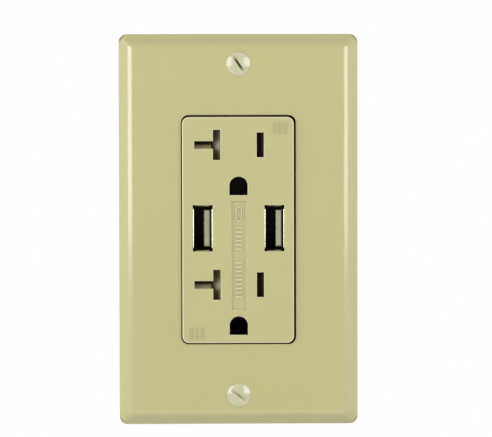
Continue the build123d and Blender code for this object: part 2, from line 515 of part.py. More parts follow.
def mounting_strap():
    strap = block(-STRAP_W / 2, STRAP_W / 2, STRAP_FRONT_Y, 0, -STRAP_H / 2, STRAP_H / 2)
    strap = fillet(strap.edges().filter_by(Axis.Y), STRAP_R)
    half_w, half_length = TONGUE_STRAP_W / 2, STRAP_LENGTH / 2
    strap += block(-half_w, half_w, STRAP_FRONT_Y, 0, -half_length, half_length)
    for side in (-1, 1):
        z0, z1 = span(side * EAR_BOTTOM_Z, side * half_length)
        ear = block(-EAR_W / 2, EAR_W / 2, STRAP_FRONT_Y, 0, z0, z1)
        strap += fillet(ear.edges().filter_by(Axis.Y), EAR_R)
        for edge in (-1, 1):
            x0, x1 = edge * half_w - EAR_GROOVE_W / 2, edge * half_w + EAR_GROOVE_W / 2
            strap -= block(x0, x1, -EAR_GROOVE_DEPTH, 1, z0 - 0.1, z1 + 0.1)
            strap -= rod_y(EAR_HOLE_R, -5, 5, edge * EAR_HOLE_X, (z0 + z1) / 2)
        strap -= rod_y(PLATE_HOLE_R, -5, 5, 0, side * PLATE_SCREW_Z)
        strap -= prism_y(Pos(0, side * BOX_SCREW_Z) * SlotOverall(BOX_SLOT_W, BOX_SLOT_H), -5, 5)
        for x in (-COLUMN_X, COLUMN_X):
            strap -= rod_y(ASSEMBLY_HOLE_R, -5, 5, x, side * COLUMN_Z)
        strap -= strap_window(side * USB_WINDOW_X0, side * USB_WINDOW_X1, USB_Z, USB_WINDOW_HALF_H)
    for line in BLADE_LINES.values():
        for side in (-1, 1):
            strap -= strap_window(side * SPINE_HALF, side * BLADE_WINDOW_X, line, BLADE_WINDOW_HALF_H)
            strap -= strap_window(side * SPINE_HALF, side * LEG_WINDOW_X, line, LEG_WINDOW_HALF_H)
        strap -= ground_passage(line)
        strap -= rivet_holes(line)
    x0, x1 = GROUND_TAB_X - GROUND_TAB_W / 2, GROUND_TAB_X + GROUND_TAB_W / 2
    edge_z = -STRAP_H / 2
    strap += block(x0, x1, STRAP_FRONT_Y, GROUND_TAB_Y, edge_z - STRAP_T, edge_z)
    strap += block(x0 + STRAP_R, x1, STRAP_FRONT_Y, 0, edge_z - LAP, edge_z + 1)
    strap -= facing_down(GROUND_TAB_X, TERMINAL_Y, edge_z) * Cylinder(TERMINAL_HOLE_R, 10)
    return strap


def strap_window(near_x, far_x, z, half_h):
    x0, x1 = span(near_x, far_x)
    return block(x0, x1, -5, 5, z - half_h, z + half_h)


def ground_passage(line):
    """The opening behind a ground hole, through the strap and through its clip."""
    z = line - GROUND_DROP
    return block(-PASSAGE_HALF_W, PASSAGE_HALF_W, -5, 5, z - PASSAGE_HALF_H, z + PASSAGE_HALF_H)


def rivet_places(line):
    return [line - GROUND_DROP + rise for rise in RIVET_RISES]


def rivet_holes(line):
    low, high = rivet_places(line)
    return rod_y(RIVET_HOLE_R, -5, 5, 0, low) + rod_y(RIVET_HOLE_R, -5, 5, 0, high)


def ground_clip(line):
    """A riveted base with two leaves that grip the ground pin."""
    z = line - GROUND_DROP
    clip = block(-CLIP_HALF_W, CLIP_HALF_W, 0, CLIP_T, z - CLIP_BELOW, z + CLIP_ABOVE)
    clip -= ground_passage(line)
    clip -= rivet_holes(line)
    for side in (-1, 1):
        leaf = ribbon([(side * x, y) for x, y in GROUND_LEAF], WIPER_T)
        clip += prism_z(leaf, z - GROUND_LEAF_HALF_H, z + GROUND_LEAF_HALF_H)
    return clip


def ground_rivets():
    rivets = []
    for line in BLADE_LINES.values():
        for z in rivet_places(line):
            shank = rod_y(RIVET_R, STRAP_FRONT_Y, CLIP_T, 0, z)
            rivets.append(shank + rod_y(RIVET_HEAD_R, CLIP_T, CLIP_T + RIVET_HEAD_H, 0, z))
    return Compound(children=rivets)


def box_screw():
    """A box mounting screw about local Z, with the underside of its head at height 0."""
    neck_end = STRAP_FRONT_Y - THREAD_START_Y
    tip = STRAP_FRONT_Y - BOX_SCREW_END_Y
    top, bevel = BOX_HEAD_H, BOX_HEAD_CHAMFER
    screw = turned(
        [
            (0, top),
            (BOX_HEAD_R - bevel, top),
            (BOX_HEAD_R, top - bevel),
            (BOX_HEAD_R, 0),
            (BOX_NECK_R, 0),
            (BOX_NECK_R, neck_end),
            (BOX_SCREW_R, neck_end),
            (BOX_SCREW_R, tip + SCREW_TIP),
            (BOX_SCREW_R - SCREW_TIP, tip),
            (0, tip),
        ]
    )
    slot = Box(10, BOX_SLOT_CUT_W, 2 * BOX_SLOT_CUT_DEPTH)
    return screw - Pos(0, 0, top) * slot - Pos(0, 0, top) * Rot(0, 0, 90) * slot


def mounting_screws():
    half = RETAINER_SIDE / 2
    retainers = []
    for name, z in (("upper", BOX_SCREW_Z), ("lower", -BOX_SCREW_Z)):
        parts[f"mounting_screw_{name}"] = facing_room(0, STRAP_FRONT_Y, z) * box_screw()
        washer = block(-half, half, 0, RETAINER_T, z - half, z + half)
        retainers.append(washer - rod_y(BOX_NECK_R + 0.1, -1, 1, 0, z))
    parts["screw_retainers"] = Compound(children=retainers)


# ------------------------------------------------------------ terminals


def terminal_screw(hexagonal=False):
    """A terminal screw about local Z, with the underside of its head at height 0."""
    top, rim, bevel = TERMINAL_HEAD_H, TERMINAL_HEAD_R, TERMINAL_HEAD_CHAMFER
    if hexagonal:
        head = extrude(RegularPolygon(HEX_CORNER_R, 6), amount=top)
    else:
        head = turned([(0, 0), (rim, 0), (rim, top - bevel), (rim - bevel, top), (0, top)])
    r, tip = TERMINAL_R, -TERMINAL_SHANK
    shank = turned([(0, 0), (r, 0), (r, tip + SCREW_TIP), (r - SCREW_TIP, tip), (0, tip)])
    return head + shank - Pos(0, 0, top) * Box(12, TERMINAL_SLOT_W, 2 * TERMINAL_SLOT_DEPTH)


def clamp_plate():
    """A wire clamp about local Z, from height 0 up, with teeth for the wire beside the screw."""
    clamp = Pos(0, 0, CLAMP_T / 2) * Box(CLAMP_SIDE, CLAMP_SIDE, CLAMP_T)
    clamp = fillet(clamp.edges().filter_by(Axis.Z), CLAMP_R)
    for side in (-1, 1):
        for offset in (-CLAMP_TOOTH_PITCH, 0.0, CLAMP_TOOTH_PITCH):
            tooth = Box(CLAMP_TOOTH_W, WIRE_GROOVE_W, 2 * CLAMP_TOOTH_DEPTH)
            clamp -= Pos(offset, side * WIRE_OFFSET, 0) * tooth
    return clamp - Pos(0, 0, CLAMP_T / 2) * Cylinder(TERMINAL_HOLE_R, 3)


def terminals():
    for pole, side in (("hot", 1), ("neutral", -1)):
        for name, z in TERMINAL_Z.items():
            tab_x = side * (BUS_X + BUS_T)
            parts[f"{pole}_clamp_{name}"] = facing_side(side, tab_x, TERMINAL_Y, z) * clamp_plate()
            seat_x = tab_x + side * CLAMP_T
            parts[f"{pole}_screw_{name}"] = facing_side(side, seat_x, TERMINAL_Y, z) * terminal_screw()
    tab_z = -STRAP_H / 2 - STRAP_T
    parts["ground_clamp"] = facing_down(GROUND_TAB_X, TERMINAL_Y, tab_z) * clamp_plate()
    seat = facing_down(GROUND_TAB_X, TERMINAL_Y, tab_z - CLAMP_T)
    parts["ground_screw"] = seat * terminal_screw(hexagonal=True)


# ------------------------------------------------------------ live contacts


def wiper(middle, direction):
    """The centre line, across and in Y, of one leaf beside a blade."""
    return [(middle + direction * step, y) for step, y in WIPER_LINE]


def bus(side):
    """One side's brass: a rail with terminal holes, and a blade contact at each receptacle."""
    x0, x1 = span(side * BUS_X, side * (BUS_X + BUS_T))
    rail = block(x0, x1, BUS_FRONT_Y, BUS_BACK_Y, BUS_BOTTOM_Z, BUS_TOP_Z)
    rail += block(x0, x1, BUS_BACK_Y, BOARD_BACK_Y + HEADER_PIN_PROUD, -BUS_PIN_HALF, BUS_PIN_HALF)
    for z in TERMINAL_Z.values():
        rail -= rod_x(TERMINAL_HOLE_R, -THROUGH, THROUGH, TERMINAL_Y, z)
    base_front = BUS_BACK_Y - BUS_T
    for line in BLADE_LINES.values():
        low, high = line - CONTACT_HALF, line + CONTACT_HALF
        x0, x1 = span(side * CONTACT_BASE_X0, side * CONTACT_BASE_X1)
        rail += block(x0, x1, base_front, BUS_BACK_Y, low, high)
        x0, x1 = span(side * ARM_START_X, side * (BUS_X + BUS_T))
        rail += block(x0, x1, base_front, BUS_BACK_Y, low, line + ARM_TOP)
        inner = prism_z(ribbon(wiper(side * BLADE_X, -side), WIPER_T), low, high)
        outer = prism_z(ribbon(wiper(side * BLADE_X, side), WIPER_T), low, high)
        if side < 0:
            notch = LEG_NOTCH_HALF
            outer -= block(-CONTACT_BASE_X1, LEG_NOTCH_X, -THROUGH, base_front, line - notch, line + notch)
            for direction in (-1, 1):
                leaf = [(y, line + z) for z, y in wiper(0, direction)]
                rail += prism_x(ribbon(leaf, WIPER_T), LEG_CONTACT_X0, LEG_CONTACT_X1)
        rail += [inner, outer]
    return rail


def contact_carrier():
    """The insulating frame that holds both buses and the ground clips apart."""
    half_w, half_h = CARRIER_W / 2, CARRIER_H / 2
    carrier = block(-half_w, half_w, 0, CARRIER_DEPTH, -half_h, half_h)
    carrier = fillet(carrier.edges().filter_by(Axis.Y), CARRIER_R)
    bay = USB_BAY_HALF_W
    carrier -= pocket(-bay, bay, USB_BOARD_BOTTOM - BAY_GAP, USB_BOARD_TOP + BAY_GAP)
    for side in (-1, 1):
        for z in (-COLUMN_Z, COLUMN_Z):
            carrier -= rod_y(COLUMN_R + 0.2, -1, THROUGH, side * COLUMN_X, z)
        for z in TERMINAL_Z.values():
            x0, x1 = span(side * TERMINAL_POCKET_X, side * (half_w + 1))
            reach = TERMINAL_POCKET_HALF
            carrier -= block(x0, x1, TERMINAL_Y - reach, TERMINAL_Y + reach, z - reach, z + reach)
    for line in BLADE_LINES.values():
        reach = POCKET_HALF_H
        carrier -= pocket(POCKET_X0, POCKET_HOT_X1, line - reach, line + reach)
        carrier -= pocket(-POCKET_LEG_X1, -POCKET_X0, line - reach, line + reach)
        reach = ARM_POCKET_HALF_H
        carrier -= pocket(-ARM_POCKET_X, -POCKET_X0, line - reach, line + reach, ARM_POCKET_Y)
        carrier -= pocket(POCKET_X0, ARM_POCKET_X, line - reach, line + reach, ARM_POCKET_Y)
        z = line - GROUND_DROP
        half, reach = PIN_POCKET_HALF_W, PIN_POCKET_HALF_H
        carrier -= pocket(-half, half, z - reach, z + reach)
        half = CLIP_HALF_W + 0.2
        carrier -= block(-half, half, -1, 2 * CLIP_T, z - CLIP_BELOW - 0.2, z + CLIP_ABOVE + 0.2)
    return carrier - pocket(GROUND_CUT_X0, GROUND_CUT_X1, -THROUGH, GROUND_CUT_Z)


def pocket(x0, x1, z0, z1, front_y=-1):
    """A cut through the carrier from front_y back."""
    return block(x0, x1, front_y, THROUGH, z0, z1)


# ------------------------------------------------------------ body and its screws


def back_body():
    half_w, half_h = BODY_W / 2, BODY_H / 2
    body = block(-half_w, half_w, 0, BODY_DEPTH, -half_h, half_h)
    body = fillet(body.edges().filter_by(Axis.Y), BODY_R)
    body = chamfer(body.faces().sort_by(Axis.Y)[-1].edges(), BODY_CHAMFER)
    inner_w, inner_h = BODY_INNER_W / 2, BODY_INNER_H / 2
    body -= block(-inner_w, inner_w, -1, CASE_BACK_INNER_Y, -inner_h, inner_h)
    floor_y = CASE_BACK_INNER_Y + LAP
    for end in (-1, 1):
        z0, z1 = span(end * STOP_Z, end * (inner_h + LAP))
        body += block(-STOP_HALF_W, STOP_HALF_W, CARRIER_DEPTH, floor_y, z0, z1)
    body += block(
        GROUND_BOX_X0, GROUND_BOX_X1, GROUND_BOX_Y0, GROUND_BOX_Y1, -inner_h - LAP, -STOP_Z
    )
    for x in (-COLUMN_X, COLUMN_X):
        for z in (-COLUMN_Z, COLUMN_Z):
            body += rod_y(COLUMN_R, 0.2, floor_y, x, z)
            body -= rod_y(ASSEMBLY_HOLE_R, -1, THROUGH, x, z)
            body -= rod_y(ASSEMBLY_SINK_R, BODY_DEPTH - ASSEMBLY_SINK, THROUGH, x, z)
    for x in (-BOARD_POST_X, BOARD_POST_X):
        for z in (-BOARD_POST_Z, BOARD_POST_Z):
            body += rod_y(BOARD_POST_R, BOARD_BACK_Y, floor_y, x, z)
    for side in (-1, 1):
        for z in TERMINAL_Z.values():
            body -= terminal_window(side, z)
    body -= block(
        GROUND_POCKET_X0, GROUND_POCKET_X1, GROUND_POCKET_Y0, GROUND_POCKET_Y1, -THROUGH, GROUND_POCKET_Z
    )
    half, reach = LABEL_HALF_W, LABEL_HALF_H
    body -= block(-half, half, BODY_DEPTH - LABEL_DEPTH, THROUGH, -reach, reach)
    for z in (-GROOVE_Z, GROOVE_Z):
        half, reach = GROOVE_HALF_W, GROOVE_HALF_H
        body -= block(-half, half, BODY_DEPTH - GROOVE_DEPTH, THROUGH, z - reach, z + reach)
    return body


def terminal_window(side, z):
    """The opening in the body's side for a terminal, and the wire grooves behind it."""
    reach = WINDOW_REACH
    x0, x1 = span(side * (BODY_INNER_W / 2 - 0.6), side * THROUGH)
    window = block(x0, x1, TERMINAL_Y - reach, TERMINAL_Y + reach, z - reach, z + reach)
    x0, x1 = span(side * (BODY_W / 2 - WIRE_GROOVE_DEPTH), side * THROUGH)
    for offset in (-WIRE_OFFSET, WIRE_OFFSET):
        low, high = z + offset - WIRE_GROOVE_W / 2, z + offset + WIRE_GROOVE_W / 2
        window += block(x0, x1, TERMINAL_Y + reach - 0.1, THROUGH, low, high)
    return window


def assembly_screws():
    """Long screws from the back of the body into the bosses of the face."""
    screws = []
    seat_y = BODY_DEPTH - ASSEMBLY_SINK
    long, thin = CROSS_HALF, CROSS_HALF_T
    for x in (-COLUMN_X, COLUMN_X):
        for z in (-COLUMN_Z, COLUMN_Z):
            shank = rod_y(ASSEMBLY_R, ASSEMBLY_TIP_Y, seat_y, x, z)
            head = rod_y(ASSEMBLY_HEAD_R, seat_y, seat_y + ASSEMBLY_HEAD_H, x, z)
            cross = block(x - long, x + long, seat_y + CROSS_START, THROUGH, z - thin, z + thin)
            cross += block(x - thin, x + thin, seat_y + CROSS_START, THROUGH, z - long, z + long)
            screws.append(shank + head - cross)
    return Compound(children=screws)


# ------------------------------------------------------------ USB ports and boards


def usb_shell(x):
    """A sheet-metal port shell with a flared lip along each side of its mouth."""
    half_w, half_h = USB_SHELL_W / 2, USB_SHELL_H / 2
    lip_y = USB_MOUTH_Y + USB_LIP_DEPTH
    shell = block(-half_w, half_w, lip_y - USB_SHELL_T, USB_BACK_Y, -half_h, half_h)
    bore_w, bore_h = half_w - USB_SHELL_T, half_h - USB_SHELL_T
    shell -= block(-bore_w, bore_w, -THROUGH, USB_BACK_Y + 1, -bore_h, bore_h)
    tuck, flare = USB_SHELL_T / 2, USB_LIP_T / 2
    side_lip = [(half_w - tuck, lip_y), (USB_LIP_W / 2 - flare, USB_MOUTH_Y)]
    end_lip = [(lip_y, half_h - tuck), (USB_MOUTH_Y, USB_LIP_H / 2 - flare)]
    reach_w, reach_h = half_w - USB_LIP_CORNER, half_h - USB_LIP_CORNER
    for side in (-1, 1):
        outline = ribbon([(side * px, py) for px, py in side_lip], USB_LIP_T)
        shell += prism_z(outline, -reach_h, reach_h)
        outline = ribbon([(py, side * pz) for py, pz in end_lip], USB_LIP_T)
        shell += prism_x(outline, -reach_w, reach_w)
        x0, x1 = span(side * (bore_w - 0.1), side * (half_w + 1))
        for z in (-LATCH_Z, LATCH_Z):
            shell -= latch_cut(x0, x1, z)
    return Pos(x, 0, USB_Z) * shell


def latch_cut(x0, x1, z):
    """The three-sided cut that frees a spring latch in a port's side."""
    inner = LATCH_HALF - LATCH_CUT
    cut = block(x0, x1, LATCH_Y0, LATCH_Y1, z - LATCH_HALF, z + LATCH_HALF)
    return cut - block(x0, x1, LATCH_Y0, LATCH_Y1 - 0.9, z - inner, z + inner)


def usb_tongue(x):
    """The insulating tongue and the block that closes the back of the port."""
    bore_w = USB_SHELL_W / 2 - USB_SHELL_T - 0.02
    bore_h = USB_SHELL_H / 2 - USB_SHELL_T - 0.02
    x0, x1 = TONGUE_OFFSET - TONGUE_W / 2, TONGUE_OFFSET + TONGUE_W / 2
    tongue = block(x0, x1, TONGUE_FRONT_Y, TONGUE_ROOT_Y + 0.1, -TONGUE_H / 2, TONGUE_H / 2)
    tongue = chamfer(tongue.faces().sort_by(Axis.Y)[0].edges(), TONGUE_CHAMFER)
    tongue += block(-bore_w, bore_w, TONGUE_ROOT_Y - 0.1, USB_BACK_Y + LAP, -bore_h, bore_h)
    for z in CONTACT_ROWS:
        tongue -= contact_bar(z, 0.02)
    return Pos(x, 0, USB_Z) * tongue


def contact_bar(z, gap):
    """One contact, or with a gap its seat: a strip along the tongue that ends in a board pin."""
    x = TONGUE_OFFSET - TONGUE_W / 2
    half_t, half_w, pin = CONTACT_T / 2, CONTACT_W / 2 + gap, PIN_W / 2 + gap
    bar = block(x - half_t, x + half_t + gap, TONGUE_FRONT_Y + 0.8, USB_BACK_Y, z - half_w, z + half_w)
    return bar + block(
        x - half_t - gap, x + half_t + gap, TONGUE_ROOT_Y - 0.2, PIN_END_Y, z - pin, z + pin
    )


def usb_contacts(x):
    bars = [Pos(x, 0, USB_Z) * contact_bar(z, 0.0) for z in CONTACT_ROWS]
    return Compound(children=bars)


def usb_ports():
    for name, side in (("left", -1), ("right", 1)):
        x = side * USB_X
        parts[f"usb_shell_{name}"] = usb_shell(x)
        parts[f"usb_tongue_{name}"] = usb_tongue(x)
        parts[f"usb_contacts_{name}"] = usb_contacts(x)


def header_rods(radius):
    """The header's pins, or the holes for them, between the two boards."""
    front, back = USB_BOARD_Y - HEADER_PIN_PROUD, BOARD_BACK_Y + HEADER_PIN_PROUD
    return [rod_y(radius, front, back, x, HEADER_Z) for x in HEADER_XS]


def boards():
    half = USB_BOARD_W / 2
    usb_board = block(-half, half, USB_BOARD_Y, USB_BOARD_BACK_Y, USB_BOARD_BOTTOM, USB_BOARD_TOP)
    board = block(-BOARD_W / 2, BOARD_W / 2, BOARD_Y, BOARD_BACK_Y, -BOARD_H / 2, BOARD_H / 2)
    housing = block(
        -HEADER_HALF_W,
        HEADER_HALF_W,
        USB_BOARD_BACK_Y,
        BOARD_Y,
        HEADER_Z - HEADER_HALF_H,
        HEADER_Z + HEADER_HALF_H,
    )
    for x in (-USB_X, USB_X):
        for z in CONTACT_ROWS:
            usb_board -= Pos(x, 0, USB_Z) * contact_bar(z, 0.05)
    for hole in header_rods(HEADER_HOLE_R):
        usb_board -= hole
        board -= hole
        housing -= hole
    for side in (-1, 1):
        x0, x1 = span(side * (BUS_X - 0.2), side * (BUS_X + BUS_T + 0.2))
        board -= block(x0, x1, 0, THROUGH, -BUS_PIN_HALF - 0.2, BUS_PIN_HALF + 0.2)
    half, reach = SHEET_HALF_W, SHEET_HALF_H
    sheet = block(-half, half, CARRIER_DEPTH, CARRIER_DEPTH + SHEET_T, -reach, reach)
    half, reach = SHEET_SLOT_HALF_W, SHEET_SLOT_HALF_H
    sheet -= block(-half, half, 0, THROUGH, HEADER_Z - reach, HEADER_Z + reach)
    parts["usb_board"] = usb_board
    parts["power_board"] = board
    parts["insulating_sheet"] = sheet
    parts["header_housing"] = housing
    parts["header_pins"] = Compound(children=header_rods(HEADER_PIN_R))
    z0, z1 = CHIP_Z - CHIP_HALF, CHIP_Z + CHIP_HALF
    chip_back = USB_BOARD_BACK_Y + CHIP_H
    parts["usb_control_chip"] = block(-CHIP_HALF, CHIP_HALF, USB_BOARD_BACK_Y, chip_back, z0, z1)


def on_board(x0, x1, height, z0, z1):
    """A block standing on the back of the power board."""
    return block(x0, x1, BOARD_BACK_Y, BOARD_BACK_Y + height, z0, z1)


def capacitor_can(x, z, radius, height, edge_r):
    """An upright round can on the back of the power board, with a rolled top."""
    can = rod_y(radius, BOARD_BACK_Y, BOARD_BACK_Y + height, x, z)
    return fillet(can.edges().sort_by(Axis.Y)[-1], edge_r)


def standing_disc(x0, x1, z, radius):
    """A dipped disc standing edge-on on the board, with the foot that its leads run through."""
    inset, half = DISC_FOOT_INSET, 0.62 * radius
    disc = rod_x(radius, x0, x1, BOARD_BACK_Y + radius + DISC_LIFT, z)
    return disc + on_board(x0 + inset, x1 - inset, DISC_FOOT_H, z - half, z + half)


def power_components():
    back = BOARD_BACK_Y
    core = on_board(-CORE_HALF_W, CORE_HALF_W, CORE_H, CORE_BOTTOM, CORE_TOP)
    parts["transformer"] = fillet(core.edges().filter_by(Axis.Y), CORE_R)
    cans = [capacitor_can(x, BULK_Z, BULK_R, BULK_H, 0.6) for x in (-BULK_X, BULK_X)]
    parts["bulk_capacitors"] = Compound(children=cans)
    parts["output_capacitor"] = capacitor_can(OUTPUT_X, OUTPUT_Z, OUTPUT_R, OUTPUT_H, 0.4)
    parts["varistor"] = standing_disc(VARISTOR_X0, VARISTOR_X1, VARISTOR_Z, VARISTOR_R)
    parts["y_capacitor"] = standing_disc(Y_CAP_X0, Y_CAP_X1, Y_CAP_Z, Y_CAP_R)
    parts["fuse"] = rod_x(FUSE_R, FUSE_X0, FUSE_X1, back + FUSE_R, FUSE_Z)
    parts["output_diode"] = rod_x(DIODE_R, DIODE_X0, DIODE_X1, back + DIODE_R, DIODE_Z)
    top = back + CHOKE_H
    choke = rod_y(CHOKE_WAIST_R, back + 0.9, top - 0.9, CHOKE_X, CHOKE_Z)
    choke += rod_y(CHOKE_R, back, back + FLANGE_T, CHOKE_X, CHOKE_Z)
    parts["line_choke"] = choke + rod_y(CHOKE_R, top - FLANGE_T, top, CHOKE_X, CHOKE_Z)
    parts["bridge_rectifier"] = on_board(-BRIDGE_HALF_W, BRIDGE_HALF_W, BRIDGE_H, BRIDGE_Z0, BRIDGE_Z1)
    parts["switching_chip"] = on_board(SWITCH_X0, SWITCH_X1, SWITCH_H, SWITCH_Z0, SWITCH_Z1)


# ------------------------------------------------------------ everything together

parts["wall_plate"] = wall_plate()
plate_screws()
parts["face_cover"] = face_cover()
shutters()
parts["mounting_strap"] = mounting_strap()
mounting_screws()
for receptacle, blade_line in BLADE_LINES.items():
    parts[f"ground_clip_{receptacle}"] = ground_clip(blade_line)
parts["ground_rivets"] = ground_rivets()
terminals()
parts["hot_bus"] = bus(1)
parts["neutral_bus"] = bus(-1)
parts["contact_carrier"] = contact_carrier()
parts["back_body"] = back_body()
parts["assembly_screws"] = assembly_screws()
usb_ports()
boards()
power_components()

os.makedirs("parts", exist_ok=True)
for node, shape in parts.items():
    export_step(shape, f"parts/{node}.step")
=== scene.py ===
import json
from math import cos, pi, radians, sin, sqrt, tan, tau

import bmesh
import bpy
from mathutils import Matrix, Vector


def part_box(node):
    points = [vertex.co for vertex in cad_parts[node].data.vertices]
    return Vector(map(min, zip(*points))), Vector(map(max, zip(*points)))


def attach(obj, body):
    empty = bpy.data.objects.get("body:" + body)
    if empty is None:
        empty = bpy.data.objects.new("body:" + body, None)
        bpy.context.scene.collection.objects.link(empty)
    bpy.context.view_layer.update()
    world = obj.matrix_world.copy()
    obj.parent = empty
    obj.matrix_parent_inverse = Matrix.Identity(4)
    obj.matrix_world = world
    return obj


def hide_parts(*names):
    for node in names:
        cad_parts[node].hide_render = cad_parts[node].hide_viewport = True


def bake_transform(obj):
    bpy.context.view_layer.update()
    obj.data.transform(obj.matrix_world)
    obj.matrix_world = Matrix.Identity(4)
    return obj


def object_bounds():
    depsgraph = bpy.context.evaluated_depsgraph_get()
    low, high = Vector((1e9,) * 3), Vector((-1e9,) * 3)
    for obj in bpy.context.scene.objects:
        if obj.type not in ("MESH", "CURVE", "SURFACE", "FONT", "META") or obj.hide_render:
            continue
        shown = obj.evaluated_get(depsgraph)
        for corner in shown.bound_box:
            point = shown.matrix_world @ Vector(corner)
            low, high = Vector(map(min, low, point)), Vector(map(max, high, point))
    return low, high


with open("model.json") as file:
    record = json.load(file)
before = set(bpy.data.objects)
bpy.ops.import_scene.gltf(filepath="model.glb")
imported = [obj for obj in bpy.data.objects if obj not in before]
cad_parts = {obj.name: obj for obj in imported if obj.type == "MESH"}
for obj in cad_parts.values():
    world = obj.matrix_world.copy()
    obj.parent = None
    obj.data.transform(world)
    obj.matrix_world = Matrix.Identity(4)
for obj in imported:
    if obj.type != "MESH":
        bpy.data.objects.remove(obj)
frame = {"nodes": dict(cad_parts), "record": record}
cad_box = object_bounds()

MM = 0.001
DEVICE = "device"
# Heights of the upper and lower receptacles' blade slots, in millimetres.
BLADE_LINES = (24.76, -16.03)


# ---------------------------------------------------------------- material helpers


def new_material(name, color, roughness, metallic=0.0, **sockets):
    """A Principled material; sockets are other inputs, named with underscores for spaces."""
    material = bpy.data.materials.new(name)
    material.use_nodes = True
    shader = shader_of(material)
    shader.inputs["Base Color"].default_value = (*color, 1.0)
    shader.inputs["Roughness"].default_value = roughness
    shader.inputs["Metallic"].default_value = metallic
    for socket, value in sockets.items():
        shader.inputs[socket.replace("_", " ")].default_value = value
    return material


def shader_of(material):
    return material.node_tree.nodes["Principled BSDF"]


def add_node(material, kind, **inputs):
    node = material.node_tree.nodes.new(kind)
    for name, value in inputs.items():
        node.inputs[name.replace("_", " ")].default_value = value
    return node


def join(material, source, target):
    material.node_tree.links.new(source, target)


def object_place(material, stretch=(1, 1, 1), offset=0.0):
    """The piece's own coordinates, in metres, scaled and shifted."""
    place = add_node(material, "ShaderNodeTexCoord")
    mapping = add_node(material, "ShaderNodeMapping", Scale=stretch, Location=(offset, offset, offset))
    join(material, place.outputs["Object"], mapping.inputs["Vector"])
    return mapping.outputs["Vector"]


def object_noise(material, size_mm, detail=2.0, stretch=(1, 1, 1), offset=0.0):
    """Noise in the piece's own coordinates, with features about size_mm across."""
    noise = add_node(material, "ShaderNodeTexNoise", Scale=1.0 / (size_mm * MM), Detail=detail)
    join(material, object_place(material, stretch, offset), noise.inputs["Vector"])
    return noise.outputs["Fac"]


def spread(material, value, low, high, source_low=0.3, source_high=0.7):
    """Maps a value between two limits onto the range from low to high."""
    node = add_node(material, "ShaderNodeMapRange")
    node.inputs["From Min"].default_value = source_low
    node.inputs["From Max"].default_value = source_high
    node.inputs["To Min"].default_value = low
    node.inputs["To Max"].default_value = high
    join(material, value, node.inputs["Value"])
    return node.outputs["Result"]


def math_node(material, operation, first, second=0.0):
    node = material.node_tree.nodes.new("ShaderNodeMath")
    node.operation = operation
    for socket, value in zip(node.inputs, (first, second)):
        if isinstance(value, (int, float)):
            socket.default_value = value
        else:
            join(material, value, socket)
    return node.outputs[0]


def coordinate(material, axis):
    """One of the piece's own coordinates, in millimetres."""
    split = add_node(material, "ShaderNodeSeparateXYZ")
    join(material, object_place(material, (1 / MM,) * 3), split.inputs["Vector"])
    return split.outputs[axis]


def deeper_than(material, start_y, end_y):
    """0 in front of start_y and 1 behind end_y, in millimetres."""
    return spread(material, coordinate(material, "Y"), 0.0, 1.0, start_y, end_y)


def mix_colors(material, factor, first, second):
    """Two colours, each a plain colour or an output, mixed by an output."""
    node = material.node_tree.nodes.new("ShaderNodeMix")
    node.data_type = "RGBA"
    for socket, color in ((node.inputs[6], first), (node.inputs[7], second)):
        if isinstance(color, tuple):
            socket.default_value = (*color, 1.0)
        else:
            join(material, color, socket)
    join(material, factor, node.inputs["Factor"])
    return node.outputs[2]


def tint(color, factor):
    return tuple(min(1.0, c * factor) for c in color)


def base_color(material, color):
    join(material, color, shader_of(material).inputs["Base Color"])
    return color


def vary_color(material, color, other, size_mm=9.0, detail=3.0):
    """The base colour drifts softly between two near shades."""
    factor = spread(material, object_noise(material, size_mm, detail), 0.0, 1.0)
    return base_color(material, mix_colors(material, factor, color, other))


def vary_roughness(material, low, high, size_mm=5.0, stretch=(1, 1, 1)):
    value = spread(material, object_noise(material, size_mm, 4.0, stretch, 0.37), low, high)
    join(material, value, shader_of(material).inputs["Roughness"])


def add_bump(material, *layers):
    """Bump from layers of (size in mm, height in mm, stretch)."""
    normal = None
    for size_mm, height_mm, stretch in layers:
        bump = add_node(material, "ShaderNodeBump", Strength=1.0, Distance=height_mm * MM)
        join(material, object_noise(material, size_mm, 3.0, stretch), bump.inputs["Height"])
        if normal:
            join(material, normal, bump.inputs["Normal"])
        normal = bump.outputs["Normal"]
    join(material, normal, shader_of(material).inputs["Normal"])


# ---------------------------------------------------------------- materials


def moulded_plastic(name, color, roughness=0.3, peel=0.004, grain=0.0006, drift=0.008, **sockets):
    """Injection-moulded plastic: a faint orange peel, fine grain and slight mottling."""
    material = new_material(name, color, roughness, **sockets)
    vary_color(material, tint(color, 1 - drift), tint(color, 1 + drift), 14.0)
    vary_roughness(material, roughness * 0.88, roughness * 1.12)
    add_bump(material, (3.0, peel, (1, 1, 1)), (0.6, grain, (1, 1, 1)))
    return material


def plain_metal(name, color, roughness=0.3, stretch=(1, 1, 1), grain=0.003, **sockets):
    """Metal with fine drawn or rolled lines along the axis that stretch makes long."""
    material = new_material(name, color, roughness, 1.0, **sockets)
    vary_color(material, tint(color, 0.88), tint(color, 1.05), 3.0)
    vary_roughness(material, roughness * 0.75, roughness * 1.3, 1.2, stretch)
    add_bump(material, (0.5, grain, stretch), (3.0, grain, (1, 1, 1)))
    return material


def shade_deep(material, color, deep_color, start_y, end_y):
    """Shifts the colour behind a depth to a darker one: painted shade in a recess."""
    factor = deeper_than(material, start_y, end_y)
    return base_color(material, mix_colors(material, factor, color, deep_color))


def near_middle(material, half_w, half_h):
    """1 within a rectangle about the Y axis and 0 outside it, in millimetres."""
    sides = []
    for axis, half in (("X", half_w), ("Z", half_h)):
        distance = math_node(material, "ABSOLUTE", coordinate(material, axis))
        sides.append(spread(material, distance, 1.0, 0.0, half, half + 0.1))
    return math_node(material, "MULTIPLY", *sides)


